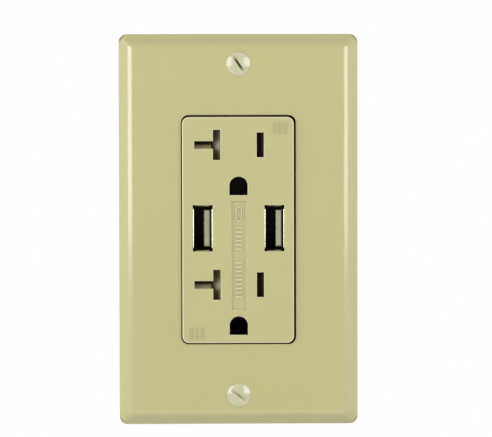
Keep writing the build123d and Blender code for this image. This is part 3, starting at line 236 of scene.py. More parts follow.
def shade_gap(material, dark_color, half_w, half_h, start_y, end_y):
    """Paints shade on the walls of the gap round the face, where light doesn't reach."""
    shader = shader_of(material)
    color = shader.inputs["Base Color"].links[0].from_socket
    inside = near_middle(material, half_w, half_h)
    factor = math_node(material, "MULTIPLY", inside, deeper_than(material, start_y, end_y))
    base_color(material, mix_colors(material, factor, color, dark_color))


def circuit_board(name):
    """Green solder mask over copper tracks, which show as paler raised runs of parallel lines."""
    mask, track = (0.012, 0.105, 0.040), (0.026, 0.175, 0.066)
    cell_mm, track_pitch, track_share, routed_share = 7.5, 1.27, 0.16, 0.6
    material = new_material(name, mask, 0.28, Coat_Weight=0.4, Coat_Roughness=0.15)
    cells = add_node(material, "ShaderNodeTexVoronoi", Scale=1 / (cell_mm * MM), Randomness=0.8)
    cells.distance = "CHEBYCHEV"
    join(material, object_place(material), cells.inputs["Vector"])
    choice = add_node(material, "ShaderNodeSeparateXYZ")
    join(material, cells.outputs["Color"], choice.inputs["Vector"])
    runs = []
    for axis, test in (("X", "GREATER_THAN"), ("Z", "LESS_THAN")):
        turns = math_node(material, "DIVIDE", coordinate(material, axis), track_pitch)
        lines = math_node(material, "COMPARE", math_node(material, "FRACT", turns), 0.5)
        lines.node.inputs[2].default_value = track_share
        chosen = math_node(material, test, choice.outputs["X"], 0.5)
        runs.append(math_node(material, "MULTIPLY", lines, chosen))
    routed = math_node(material, "LESS_THAN", choice.outputs["Y"], routed_share)
    tracks = math_node(material, "MULTIPLY", math_node(material, "ADD", *runs), routed)
    base_color(material, mix_colors(material, tracks, mask, track))
    bump = add_node(material, "ShaderNodeBump", Strength=1.0, Distance=0.03 * MM)
    join(material, tracks, bump.inputs["Height"])
    join(material, bump.outputs["Normal"], shader_of(material).inputs["Normal"])
    return material


def wound(name, color, gap_color, pitch_mm, axis, roughness=0.35, **sockets):
    """Turns of tape or wire, as fine bands across an axis."""
    material = new_material(name, color, roughness, **sockets)
    bands = add_node(material, "ShaderNodeTexWave", Scale=pi / (10 * pitch_mm * MM), Distortion=0.0)
    bands.bands_direction = axis
    join(material, object_place(material), bands.inputs["Vector"])
    line = spread(material, bands.outputs["Fac"], 0.0, 1.0, 0.0, 0.2)
    base_color(material, mix_colors(material, line, gap_color, color))
    bump = add_node(material, "ShaderNodeBump", Strength=1.0, Distance=0.05 * MM)
    join(material, line, bump.inputs["Height"])
    join(material, bump.outputs["Normal"], shader_of(material).inputs["Normal"])
    vary_roughness(material, roughness * 0.8, roughness * 1.2)
    return material


def usb_steel(name):
    """Bright nickel plate at the lips, dulled inside the port, where painted shade darkens it."""
    bright, deep = (0.86, 0.82, 0.58), (0.060, 0.048, 0.030)
    material = new_material(name, bright, 0.13, 1.0)
    # Painted shade: the steel turns near black deeper in the port.
    shade_deep(material, bright, deep, -6.0, -5.75)
    rough = spread(material, coordinate(material, "Y"), 0.13, 0.5, -5.8, -5.0)
    join(material, rough, shader_of(material).inputs["Roughness"])
    add_bump(material, (1.5, 0.002, (1, 0.2, 1)))
    return material


def tongue_plastic(name):
    """The insulator's end is pale, with faint mould streaks, and painted shade darkens it down the port."""
    material = new_material(name, (0.30, 0.29, 0.19), 0.5)
    streaks = spread(material, object_noise(material, 0.5, 2.0, (1, 1, 0.06)), 0.0, 1.0)
    pale = mix_colors(material, streaks, (0.33, 0.325, 0.225), (0.43, 0.42, 0.30))
    # Painted shade: darker deeper in the port.
    shade_deep(material, pale, (0.05, 0.042, 0.026), -5.25, -4.3)
    add_bump(material, (0.4, 0.004, (1, 1, 0.1)))
    return material


def above_blade_line(material):
    """Height above the nearer of the two receptacles' blade lines, in millimetres."""
    height = math_node(material, "SUBTRACT", coordinate(material, "Z"), sum(BLADE_LINES) / 2)
    side = math_node(material, "SIGN", height)
    half_apart = (BLADE_LINES[0] - BLADE_LINES[1]) / 2
    return math_node(material, "SUBTRACT", height, math_node(material, "MULTIPLY", side, half_apart))


def shutter_plastic(name):
    """Grey-brown plastic, dark on the hot side, with a painted highlight near the blade line on the neutral
    slot and a painted shadow on the leg above the blade line.
    """
    blade_highlight_color, leg_shadow_color, hot_color = (0.54, 0.51, 0.44), (0.03, 0.022, 0.01), (0.085, 0.055, 0.032)
    material = new_material(name, (0.40, 0.36, 0.24), 0.38)
    height, across = above_blade_line(material), coordinate(material, "X")
    scuffs = spread(material, object_noise(material, 0.8, 4.0, (1, 1, 0.3)), 0.0, 1.0)
    plain = mix_colors(material, scuffs, (0.25, 0.22, 0.10), (0.35, 0.31, 0.17))
    # Painted highlight: paler near the blade line on the neutral slot's crest.
    near_line = spread(material, math_node(material, "ABSOLUTE", height), 1.0, 0.0, 0.2, 2.1)
    on_crest = spread(material, across, 0.0, 1.0, -7.3, -5.9)
    blade_highlight = math_node(material, "MULTIPLY", near_line, on_crest)
    # Painted shadow: near black on the leg shutter above the blade line.
    on_leg = spread(material, across, 1.0, 0.0, -7.95, -7.8)
    above_line = spread(material, height, 0.0, 0.95, -0.3, 0.3)
    leg_shadow = math_node(material, "MULTIPLY", on_leg, above_line)
    neutral_side = mix_colors(material, blade_highlight, plain, blade_highlight_color)
    neutral_side = mix_colors(material, leg_shadow, neutral_side, leg_shadow_color)
    to_hot_side = spread(material, across, 0.0, 1.0, -1.0, 1.0)
    base_color(material, mix_colors(material, to_hot_side, neutral_side, hot_color))
    vary_roughness(material, 0.28, 0.5, 1.0)
    add_bump(material, (0.5, 0.004, (1, 1, 0.3)))
    return material


def screw_paint(name):
    """Glossy baked paint, a little uneven, over a slot and a rim darkened with painted shade."""
    paint, shadow = (0.61, 0.60, 0.38), (0.15, 0.13, 0.06)
    material = new_material(name, paint, 0.16, Coat_Weight=0.8, Coat_Roughness=0.08)
    drift = spread(material, object_noise(material, 2.2, 2.0), 0.0, 1.0)
    uneven = mix_colors(material, drift, (0.53, 0.57, 0.33), (0.65, 0.60, 0.40))
    # Painted shade on the rim and the slot's floor.
    shade_deep(material, uneven, shadow, -5.66, -5.35)
    add_bump(material, (1.6, 0.030, (1, 1, 1)))
    return material


IVORY = (0.560, 0.530, 0.258)

# One material for each material slot in the record.
MATERIALS = {
    "ivory_plate": moulded_plastic("ivory_plate", IVORY, 0.2, Coat_Weight=1.0, Coat_Roughness=0.12),
    "ivory_face": moulded_plastic("ivory_face", tint(IVORY, 0.955), 0.36),
    "ivory_paint": screw_paint("ivory_paint"),
    "zinc_steel": plain_metal("zinc_steel", (0.66, 0.66, 0.62), 0.32),
    "strap_steel": plain_metal("strap_steel", (0.60, 0.59, 0.56), 0.36, (1, 1, 0.08)),
    "nickel_steel": plain_metal("nickel_steel", (0.68, 0.66, 0.60), 0.25),
    "brass": plain_metal("brass", (0.80, 0.60, 0.25), 0.28),
    "brass_sheet": plain_metal("brass_sheet", (0.82, 0.62, 0.30), 0.34, (1, 1, 0.1)),
    "green_screw": plain_metal("green_screw", (0.05, 0.33, 0.11), 0.3),
    "fibre": moulded_plastic("fibre", (0.38, 0.21, 0.10), 0.75, 0.01, 0.01, 0.1),
    "dark_shutter": shutter_plastic("dark_shutter"),
    "tray_plastic": moulded_plastic("tray_plastic", (0.02, 0.019, 0.018), 0.5),
    "spring_steel": plain_metal("spring_steel", (0.6, 0.6, 0.6), 0.25),
    "carrier_plastic": moulded_plastic("carrier_plastic", (0.02, 0.02, 0.02), 0.6),
    "body_plastic": moulded_plastic("body_plastic", (0.56, 0.53, 0.31), 0.5, 0.010, 0.005, 0.02),
    "port_steel": usb_steel("port_steel"),
    "port_insulator": tongue_plastic("port_insulator"),
    # The contacts are darkened far below gold's own colour: painted shade for contacts deep in the port.
    "gold_contact": plain_metal("gold_contact", (0.24, 0.17, 0.07), 0.45),
    "board": circuit_board("board"),
    "chip": moulded_plastic("chip", (0.02, 0.02, 0.021), 0.55, 0.006, 0.006),
    "header": moulded_plastic("header", (0.025, 0.025, 0.025), 0.5),
    "sheet_film": moulded_plastic("sheet_film", (0.78, 0.75, 0.60), 0.45),
    "transformer": wound("transformer", (0.72, 0.50, 0.06), (0.50, 0.33, 0.03), 1.7, "Z"),
    "capacitor_sleeve": moulded_plastic("capacitor_sleeve", (0.02, 0.025, 0.04), 0.3),
    "varistor_blue": moulded_plastic("varistor_blue", (0.02, 0.08, 0.35), 0.3, 0.03),
    "capacitor_blue": moulded_plastic("capacitor_blue", (0.03, 0.22, 0.45), 0.3, 0.03),
    "fuse": moulded_plastic("fuse", (0.50, 0.44, 0.30), 0.6, 0.01, 0.01, 0.05),
    "choke": moulded_plastic("choke", (0.05, 0.045, 0.042), 0.6, 0.01, 0.01, 0.1),
}
# Finishes that only the detailed pieces have.
FINISHES = {
    "stripe": moulded_plastic("sleeve_stripe", (0.55, 0.57, 0.60), 0.3),
    "can": plain_metal("can_aluminium", (0.78, 0.78, 0.78), 0.3),
    "copper": plain_metal("enamelled_copper", (0.72, 0.32, 0.14), 0.22, Coat_Weight=0.5),
    "solder": plain_metal("solder", (0.66, 0.67, 0.68), 0.25),
}


def occluded_creases(material, reach_mm, darkest):
    """Darkens inner corners, as deep as the occlusion within reach_mm goes."""
    color = shader_of(material).inputs["Base Color"].links[0].from_socket
    occlusion = add_node(material, "ShaderNodeAmbientOcclusion", Distance=reach_mm * MM)
    occlusion.samples = 8
    shade = spread(material, occlusion.outputs["AO"], darkest, 1.0, 0.45, 0.95)
    mix = material.node_tree.nodes.new("ShaderNodeMix")
    mix.data_type, mix.blend_type = "RGBA", "MULTIPLY"
    mix.inputs["Factor"].default_value = 1.0
    join(material, color, mix.inputs[6])
    join(material, shade, mix.inputs[7])
    base_color(material, mix.outputs[2])


def painted_edge_highlights(material, pale, front_y, back_y):
    """Paints a highlight on the rounded edges just behind the front, paler than the flat face."""
    color = shader_of(material).inputs["Base Color"].links[0].from_socket
    start = deeper_than(material, front_y, front_y + 0.04)
    end = math_node(material, "SUBTRACT", 1.0, deeper_than(material, back_y - 0.06, back_y))
    factor = math_node(material, "MULTIPLY", start, end)
    base_color(material, mix_colors(material, factor, color, pale))


# Painted highlights on the face's rounded edges, then painted shade in its creases.
painted_edge_highlights(MATERIALS["ivory_face"], (0.86, 0.83, 0.58), -6.58, -6.42)
occluded_creases(MATERIALS["ivory_face"], 0.7, 0.45)
GAP_SHADE = (0.030, 0.024, 0.012)
# Slot, half width and half height of the painted gap shade, and the depths where it starts and is full.
GAP_WALLS = (
    ("ivory_plate", 17.2, 33.9, -5.50, -5.1),
    ("ivory_face", 17.0, 33.6, -6.05, -5.7),
    ("strap_steel", 17.2, 33.9, -3.0, -2.0),
)
for gap_slot, *gap_extent in GAP_WALLS:
    shade_gap(MATERIALS[gap_slot], GAP_SHADE, *gap_extent)


def dress_cad_nodes():
    """Every CAD node that stays takes the material of its slot in the record."""
    for row in frame["record"]["subparts"]:
        node = frame["nodes"][row["node"]]
        node.data.materials.clear()
        node.data.materials.append(MATERIALS[row["material_slot"]])


dress_cad_nodes()

# ---------------------------------------------------------------- mesh helpers
# Pieces are drawn in millimetres, most of them about a local Z, and placed in the frame's metres.

SMOOTH_ANGLE = radians(38)


def box_mm(node):
    low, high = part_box(node)
    return Vector(low) / MM, Vector(high) / MM


def plane_at(origin, x_dir, z_dir):
    """The matrix of a plane with its origin, local X and local Z."""
    x, z = Vector(x_dir), Vector(z_dir)
    columns = Matrix((x, z.cross(x), z)).transposed().to_4x4()
    return Matrix.Translation(Vector(origin)) @ columns


def facing_room(x, y, z):
    return plane_at((x, y, z), (1, 0, 0), (0, -1, 0))


def facing_back(x, y, z):
    return plane_at((x, y, z), (1, 0, 0), (0, 1, 0))


def facing_side(side, x, y, z):
    return plane_at((x, y, z), (0, side, 0), (side, 0, 0))


def facing_down(x, y, z):
    return plane_at((x, y, z), (1, 0, 0), (0, 0, -1))


def mark_sharp(bm):
    """Smooth shading, with an edge kept sharp where its faces meet at a wide angle."""
    for face in bm.faces:
        face.smooth = True
    for edge in bm.edges:
        edge.smooth = len(edge.link_faces) == 2 and edge.calc_face_angle(0.0) < SMOOTH_ANGLE


def make_piece(name, bm, slot, body, place=None, replaced=(), materials=None):
    """Turns a mesh in millimetres into a piece that rides on a body."""
    bmesh.ops.recalc_face_normals(bm, faces=bm.faces)
    mark_sharp(bm)
    bm.transform(Matrix.Scale(MM, 4) @ (place or Matrix.Identity(4)))
    data = bpy.data.meshes.new(name)
    bm.to_mesh(data)
    bm.free()
    piece = bpy.data.objects.new(name, data)
    bpy.context.scene.collection.objects.link(piece)
    for material in materials or [MATERIALS[slot]]:
        data.materials.append(material)
    if body:
        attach(piece, body)
    if replaced:
        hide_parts(*replaced)
    return piece


def lathe(bm, rows, sides=40, material_of=None):
    """Turns rows of (height, radius) about Z; a radius may vary with the angle."""
    rings = []
    for height, radius in rows:
        if not callable(radius) and radius == 0:
            rings.append([bm.verts.new((0, 0, height))])
            continue
        ring = []
        for i in range(sides):
            angle = tau * i / sides
            r = radius(angle) if callable(radius) else radius
            ring.append(bm.verts.new((r * cos(angle), r * sin(angle), height)))
        rings.append(ring)
    for index, (upper, lower) in enumerate(zip(rings, rings[1:])):
        for i in range(sides):
            j = (i + 1) % sides
            corners = [upper[i % len(upper)], lower[i % len(lower)]]
            if len(lower) > 1:
                corners.append(lower[j])
            if len(upper) > 1:
                corners.append(upper[j])
            face = bm.faces.new(corners)
            if material_of:
                face.material_index = material_of(index, i)


def thread_rows(top, bottom, major, pitch, depth, steps=10):
    """Rows for a right-hand thread that runs out smoothly at both ends."""
    count = int((top - bottom) / pitch * steps)
    rows = []
    for k in range(count + 1):
        height = top + (bottom - top) * k / count
        runout = min(1.0, (top - height) / pitch, (height - bottom) / pitch)

        def radius(angle, height=height, runout=runout):
            phase = height / pitch - angle / tau
            groove = (0.5 - 0.5 * cos(tau * phase)) ** 0.8
            return major - depth * (groove * runout + (1 - runout))

        rows.append((height, radius))
    return rows


def cut_with(bm, cutters, rounding=0.0, above=0.0):
    """Cuts shapes out of a mesh, and rounds the sharp edges that lie above a height."""
    target = temporary_object(bm)
    for cutter in cutters:
        tool = temporary_object(cutter)
        modifier = target.modifiers.new("cut", "BOOLEAN")
        modifier.object, modifier.operation, modifier.solver = tool, "DIFFERENCE", "EXACT"
    bpy.context.view_layer.update()
    evaluated = target.evaluated_get(bpy.context.evaluated_depsgraph_get())
    result = bmesh.new()
    result.from_mesh(evaluated.to_mesh())
    evaluated.to_mesh_clear()
    for thing in [m.object for m in target.modifiers] + [target]:
        bpy.data.meshes.remove(thing.data)
    if rounding:
        edges = [e for e in result.edges if is_sharp(e) and all(v.co.z > above for v in e.verts)]
        bmesh.ops.bevel(result, geom=edges, offset=rounding, segments=2, profile=0.5, affect="EDGES")
    return result


def is_sharp(edge):
    return len(edge.link_faces) == 2 and edge.calc_face_angle(0.0) > radians(40)


def temporary_object(bm):
    data = bpy.data.meshes.new("temporary")
    bmesh.ops.recalc_face_normals(bm, faces=bm.faces)
    bm.to_mesh(data)
    bm.free()
    thing = bpy.data.objects.new("temporary", data)
    bpy.context.scene.collection.objects.link(thing)
    return thing


def box_shape(low, high, radius=0.0, turn=0.0, segments=2, bm=None, index=0):
    """A box between two corners, turned about Z, with rounded edges."""
    low, high = Vector(low), Vector(high)
    bm = bm or bmesh.new()
    size = high - low
    matrix = Matrix.Rotation(radians(turn), 4, "Z") @ Matrix.Translation((low + high) / 2)
    matrix = matrix @ Matrix.Diagonal((*size, 1.0))
    made = bmesh.ops.create_cube(bm, size=1.0, matrix=matrix)
    faces = {f for v in made["verts"] for f in v.link_faces}
    for face in faces:
        face.material_index = index
    if radius:
        edges = list({e for v in made["verts"] for e in v.link_edges})
        bmesh.ops.bevel(bm, geom=edges, offset=radius, segments=segments, profile=0.5, affect="EDGES")
    return bm


def tube(bm, points, radius, sides=10, index=0):
    """A round wire along a line of points, closed at both ends."""
    points = [Vector(p) for p in points]
    rings = []
    normal = None
    for i, point in enumerate(points):
        ahead = points[min(i + 1, len(points) - 1)] - points[max(i - 1, 0)]
        direction = ahead.normalized()
        if normal is None:
            normal = direction.orthogonal().normalized()
        normal = (normal - direction * normal.dot(direction)).normalized()
        other = direction.cross(normal)
        ring = []
        for k in range(sides):
            angle = tau * k / sides
            ring.append(bm.verts.new(point + radius * (cos(angle) * normal + sin(angle) * other)))
        rings.append(ring)
    for first, second in zip(rings, rings[1:]):
        for k in range(sides):
            m = (k + 1) % sides
            bm.faces.new((first[k], first[m], second[m], second[k])).material_index = index
    bm.faces.new(rings[0][::-1]).material_index = index
    bm.faces.new(rings[-1]).material_index = index


# ---------------------------------------------------------------- screws

PITCH = 25.4 / 32
THREAD_DEPTH = 0.40
TIP_RUN, TIP_BEVEL = 0.35, 0.55


def rounded_rim(radius, height, rounding, steps=4):
    """Rows over a rim that rounds off from its top face into its side."""
    rows = []
    for k in range(steps + 1):
        angle = pi / 2 * k / steps
        rows.append((height - rounding * (1 - cos(angle)), radius - rounding * (1 - sin(angle))))
    return rows


def slot_cutter(length, width, bottom, top, turn):
    return box_shape((-length / 2, -width / 2, bottom), (length / 2, width / 2, top), 0.0, turn)


def saw_cutter(reach, depth, dome, sphere_r, width, turn):
    """What a round saw removes: a slot deepest in the middle that leaves the dome at reach."""
    rise = depth - reach**2 / (2 * sphere_r)
    saw_r = (reach**2 + rise**2) / (2 * rise)
    half, steps, top = reach + 0.25, 24, 3.0
    outline = []
    for k in range(steps + 1):
        x = half * (2 * k / steps - 1)
        outline.append((x, dome - depth + saw_r - sqrt(saw_r**2 - x**2)))
    outline += [(half, top), (-half, top)]
    turned = Matrix.Rotation(radians(turn), 3, "Z")
    bm = bmesh.new()
    near, far = (
        [bm.verts.new(turned @ Vector((x, y, z))) for x, z in outline] for y in (-width / 2, width / 2)
    )
    bm.faces.new(near)
    bm.faces.new(far[::-1])
    for k in range(len(outline)):
        bm.faces.new((near[k - 1], far[k - 1], far[k], near[k]))
    return bm


def plate_screw(name, slot_turn, slot_depth):
    """An oval head with a painted dome, on a fully threaded shank."""
    low, high = box_mm(name)
    head_r, dome, cone_angle, shank_r = (high.x - low.x) / 2, 0.79, radians(41), 1.70
    slot_reach, slot_w, rim, steps = 2.65, 0.7, 0.10, 11
    sphere_r = (head_r**2 + dome**2) / (2 * dome)
    rows = [(dome, 0)]
    for k in range(1, steps + 1):
        r = (head_r - rim) * k / steps
        rows.append((dome - sphere_r + sqrt(sphere_r**2 - r**2), r))
    rows += [(0.01, head_r - 0.02), (-0.08, head_r - 0.005)]
    cone_end = -(head_r - shank_r) / tan(cone_angle)
    rows.append((cone_end, shank_r - THREAD_DEPTH * 0.5))
    tip = plate_front_y() - high.y
    painted_rows = len(rows) - 1
    rows += thread_rows(cone_end - 0.15, tip + TIP_RUN, shank_r, PITCH, THREAD_DEPTH)
    rows += [(tip, shank_r - TIP_BEVEL), (tip, 0)]
    bm = bmesh.new()
    lathe(bm, rows, 48, lambda row, side: 0 if row < painted_rows else 1)
    cutter = saw_cutter(slot_reach, slot_depth, dome, sphere_r, slot_w, slot_turn)
    bm = cut_with(bm, [cutter])
    place = facing_room(0, plate_front_y(), (low.z + high.z) / 2)
    finishes = [MATERIALS["ivory_paint"], MATERIALS["zinc_steel"]]
    make_piece(f"{name}_detail", bm, "ivory_paint", name, place, [name], finishes)


def plate_front_y():
    """The height of an oval head's rim, which is flush with the plate's front."""
    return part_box("wall_plate")[0].y / MM


def mounting_screw(name):
    """A slotted and crossed binding head over a neck and a long thread."""
    low, high = box_mm(name)
    head_r, head_h, neck_r, thread_r = (high.x - low.x) / 2, 1.9, 1.5, 1.75
    seat_y = low.y + head_h
    tip = seat_y - high.y
    rows = [(head_h, 0), (head_h - 0.02, 1.2), (head_h - 0.15, 2.1)]
    rows += [(head_h - 0.45, 2.9), (head_h - 0.85, head_r - 0.1), (head_h - 1.1, head_r)]
    rows += [(0.12, head_r), (0.0, head_r - 0.12), (0.0, neck_r), (-1.65, neck_r)]
    rows += thread_rows(-1.7, tip + TIP_RUN, thread_r, PITCH, THREAD_DEPTH, 9)
    rows += [(tip, thread_r - TIP_BEVEL), (tip, 0)]
    bm = bmesh.new()
    lathe(bm, rows, 32)
    cutters = [slot_cutter(10, 1.1, head_h - 1.0, 4, turn) for turn in (0, 90)]
    bm = cut_with(bm, cutters, 0.06, above=0.5)
    place = facing_room(0, seat_y, (low.z + high.z) / 2)
    make_piece(f"{name}_detail", bm, "zinc_steel", name, place, [name])


def hexagon_radius(corner_r, rounding=0.02):
    """The radius of a hexagon with its corners on local X, as a function of the angle."""

    def radius(angle):
        wrapped = (angle + pi / 6) % (pi / 3) - pi / 6
        flat = corner_r * cos(pi / 6) / cos(wrapped - (pi / 6 if wrapped > 0 else -pi / 6))
        return flat - rounding

    return radius


def terminal_screw(name, slot, place, hexagonal=False):
    """A wide low head with a slot, on a short thread that holds the wire clamp."""
    head_h, head_r, shank_r, shank = 1.9, 4.0, 2.05, 6.3
    bm = bmesh.new()
    tail = [(0.0, shank_r - THREAD_DEPTH * 0.4)]
    tail += thread_rows(-0.1, TIP_RUN - shank, shank_r, PITCH, THREAD_DEPTH)
    tail += [(-shank, shank_r - TIP_BEVEL), (-shank, 0)]
    if hexagonal:
        side = hexagon_radius(4.45)
        crown = 3.75
        rows = [(head_h, 0), (head_h, 1.2), (head_h, 2.4), (head_h, crown - 0.1)]
        rows += [(head_h - 0.28, lambda a: min(side(a), 4.2)), (head_h - 0.5, side), (0.1, side)]
        rows += [(0.0, lambda a: side(a) - 0.1)]
    else:
        rows = [(head_h, 0), (head_h, 1.2), (head_h, 2.4), (head_h, head_r - 0.62)]
        rows += [(head_h - 0.12, head_r - 0.42), (head_h - 0.32, head_r - 0.2)]
        rows += [(head_h - 0.6, head_r - 0.04), (head_h - 0.8, head_r), (0.12, head_r), (0.0, head_r - 0.12)]
    lathe(bm, rows + tail, 48)
    cutter = slot_cutter(12, 1.2, head_h - 1.1, 4, 0)
    bm = cut_with(bm, [cutter], 0.07, above=0.5)
    make_piece(f"{name}_detail", bm, slot, name, place, [name])


def all_screws():
    for end, turn, slot_depth in (("upper", -56.0, 1.1), ("lower", -36.0, 0.75)):
        plate_screw(f"plate_screw_{end}", turn, slot_depth)
        mounting_screw(f"mounting_screw_{end}")
        for pole, side, slot in (("hot", 1, "brass"), ("neutral", -1, "nickel_steel")):
            low, high = box_mm(f"{pole}_clamp_{end}")
            seat_x = high.x if side > 0 else low.x
            place = facing_side(side, seat_x, (low.y + high.y) / 2, (low.z + high.z) / 2)
            terminal_screw(f"{pole}_screw_{end}", slot, place)
    low, high = box_mm("ground_clamp")
    place = facing_down((low.x + high.x) / 2, (low.y + high.y) / 2, low.z)
    terminal_screw("ground_screw", "green_screw", place, hexagonal=True)


# ---------------------------------------------------------------- springs

WIRE_R = 0.15
COIL_TURNS = 8


def coil_points(start, end, radius, turns, per_turn=20):
    """A compression spring's centre line: one turn at each end lies flat, the rest are open."""
    start, end = Vector(start), Vector(end)
    axis = (end - start).normalized()
    across = axis.orthogonal().normalized()
    other = axis.cross(across)
    length = (end - start).length
    wire = 2 * WIRE_R
    points = []
    for k in range(turns * per_turn + 1):
        turn = k / per_turn
        if turn < 1:
            along = WIRE_R + turn * wire
        elif turn > turns - 1:
            along = length - WIRE_R - (turns - turn) * wire
        else:
            open_part = (turn - 1) / (turns - 2)
            along = WIRE_R + wire + open_part * (length - 3 * wire)
        angle = tau * turn
        points.append(start + axis * along + radius * (cos(angle) * across + sin(angle) * other))
    return points


def coil_spring(node, seat, lug):
    """A spring between its seat in the tray and the lug on a shutter, which it presses."""
    low, high = box_mm(node)
    radius = (high.y - low.y) / 2 - WIRE_R - 0.01
    bm = bmesh.new()
    tube(bm, coil_points(seat, lug, radius, COIL_TURNS), WIRE_R, 8)
    piece = make_piece(f"{node}_coil", bm, "spring_steel", None, None, [node])
    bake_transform(piece)


def all_springs():
    for end in ("upper", "lower"):
        low, high = box_mm(f"blade_spring_{end}")
        y, z = (low.y + high.y) / 2, (low.z + high.z) / 2
        coil_spring(f"blade_spring_{end}", (high.x, y, z), (low.x, y, z))
        low, high = box_mm(f"leg_spring_{end}")
        x, y = (low.x + high.x) / 2, (low.y + high.y) / 2
        coil_spring(f"leg_spring_{end}", (x, y, low.z), (x, y, high.z))


# ---------------------------------------------------------------- boards' parts

LEAD_R = 0.33


def transformer():
    """A ferrite core round a bobbin that is wound and wrapped in yellow tape."""
    low, high = box_mm("transformer")
    yoke, leg, flange, half_depth = 2.4, 1.5, 0.5, 2.9
    mid_y = (low.y + high.y) / 2 + 0.4
    y0, y1 = mid_y - half_depth, mid_y + half_depth
    core = bmesh.new()
    for z0, z1 in ((low.z, low.z + yoke), (high.z - yoke, high.z)):
        box_shape((low.x, y0, z0), (high.x, y1, z1), 0.25, bm=core)
    for x0, x1 in ((low.x, low.x + leg), (high.x - leg, high.x)):
        box_shape((x0, y0, low.z + yoke), (x1, y1, high.z - yoke), 0.1, bm=core)
    make_piece("transformer_core", core, "choke", DEVICE, None, ["transformer"])
    x0, x1 = low.x + leg + 0.1, high.x - leg - 0.1
    bobbin = bmesh.new()
    for z in (low.z + yoke + 0.05, high.z - yoke - flange - 0.05):
        box_shape((x0, low.y, z), (x1, high.y, z + flange), 0.15, bm=bobbin)
    make_piece("transformer_bobbin", bobbin, "header", DEVICE, None, ["transformer"])
    winding = box_shape(
        (low.x + leg + 0.3, low.y + 0.7, low.z + yoke + 0.5),
        (high.x - leg - 0.3, high.y - 0.2, high.z - yoke - 0.5),
        1.3,
        segments=4,
    )
    make_piece("transformer_winding", winding, "transformer", DEVICE, None, ["transformer"])


def electrolytic(bm, x, z, base_y, radius, height):
    """A sleeved can: crimped near its base, with a scored aluminium top and a pale stripe."""
    rows = [(height - 0.22, 0), (height - 0.22, radius - 1.15), (height - 0.05, radius - 1.0)]
    sleeve_start = len(rows)
    rows += [(height, radius - 0.8)] + rounded_rim(radius, height, 0.6)
    rows += [(1.9, radius), (1.65, radius - 0.12), (1.4, radius - 0.35), (1.15, radius - 0.12)]
    rows += [(0.9, radius), (0.15, radius - 0.02), (0.0, radius - 0.3), (0.0, 0)]

    def material_of(row, side):
        if row < sleeve_start:
            return 1
        return 2 if 3 <= side <= 8 else 0

    can = bmesh.new()
    lathe(can, rows, 40, material_of)
    cutters = [slot_cutter(radius, 0.22, height - 0.4, height + 1, turn) for turn in (0, 90)]
    can = cut_with(can, cutters)
    can.transform(facing_back(x, base_y, z))
    copy_into(bm, can)


def copy_into(bm, other):
    data = bpy.data.meshes.new("temporary")
    other.to_mesh(data)
    other.free()
    bm.from_mesh(data)
    bpy.data.meshes.remove(data)


def capacitors():
    cans = [MATERIALS["capacitor_sleeve"], FINISHES["can"], FINISHES["stripe"]]
    for node, count in (("bulk_capacitors", 2), ("output_capacitor", 1)):
        low, high = box_mm(node)
        radius = (high.z - low.z) / 2
        bm = bmesh.new()
        for k in range(count):
            x = low.x + radius if k == 0 else high.x - radius
            electrolytic(bm, x, (low.z + high.z) / 2, low.y, radius, high.y - low.y)
        make_piece(f"{node}_detail", bm, "capacitor_sleeve", DEVICE, None, [node], cans)


def dipped_disc(node, slot):
    """A dipped disc on edge, with coated shoulders where its two leads come out."""
    low, high = box_mm(node)
    radius, half_t = (high.z - low.z) / 2, (high.x - low.x) / 2
    centre = Vector(((low.x + high.x) / 2, high.y - radius, (low.z + high.z) / 2))
    rows = [(half_t, 0), (half_t - 0.03, radius * 0.4), (half_t - 0.14, radius * 0.7)]
    rows += [(half_t - 0.35, radius * 0.87), (half_t * 0.5, radius * 0.96), (0, radius)]
    rows += [(-height, r) for height, r in reversed(rows[:-1])]
    bm = bmesh.new()
    lathe(bm, rows, 48)
    bm.transform(facing_side(1, *centre))
    for side in (-1, 1):
        x, z = centre.x + side * 0.25, centre.z + side * radius * 0.55
        lead = [(x, low.y, z), (x, low.y + 1.2, z), (x, centre.y - radius * 0.3, z)]
        tube(bm, lead, LEAD_R, 10, index=1)
        shoulder = bmesh.new()
        rows = [(radius * 0.62, 0), (radius * 0.62, 0.85), (1.5, 0.62), (0.8, 0.42), (0.75, 0)]
        lathe(shoulder, rows, 16)
        shoulder.transform(facing_back(x, low.y, z))
        copy_into(bm, shoulder)
    finishes = [MATERIALS[slot], FINISHES["solder"]]
    make_piece(f"{node}_detail", bm, slot, DEVICE, None, [node], finishes)


def fuse():
    """A ceramic tube between two plated end caps."""
    low, high = box_mm("fuse")
    radius, length, cap = (high.z - low.z) / 2, high.x - low.x, 2.1
    rim = rounded_rim(radius, length, 0.35)
    rows = [(length, 0)] + rim
    rows += [(length - cap + 0.1, radius), (length - cap, radius - 0.18)]
    tube_row = len(rows) - 1
    rows += [(cap, radius - 0.18), (cap - 0.1, radius)]
    rows += [(length - h, r) for h, r in reversed(rim)]
    bm = bmesh.new()
    lathe(bm, rows + [(0, 0)], 40, lambda row, side: 0 if row == tube_row else 1)
    place = plane_at((low.x, (low.y + high.y) / 2, (low.z + high.z) / 2), (0, 0, 1), (1, 0, 0))
    finishes = [MATERIALS["fuse"], MATERIALS["nickel_steel"]]
    make_piece("fuse_detail", bm, "fuse", DEVICE, place, ["fuse"], finishes)


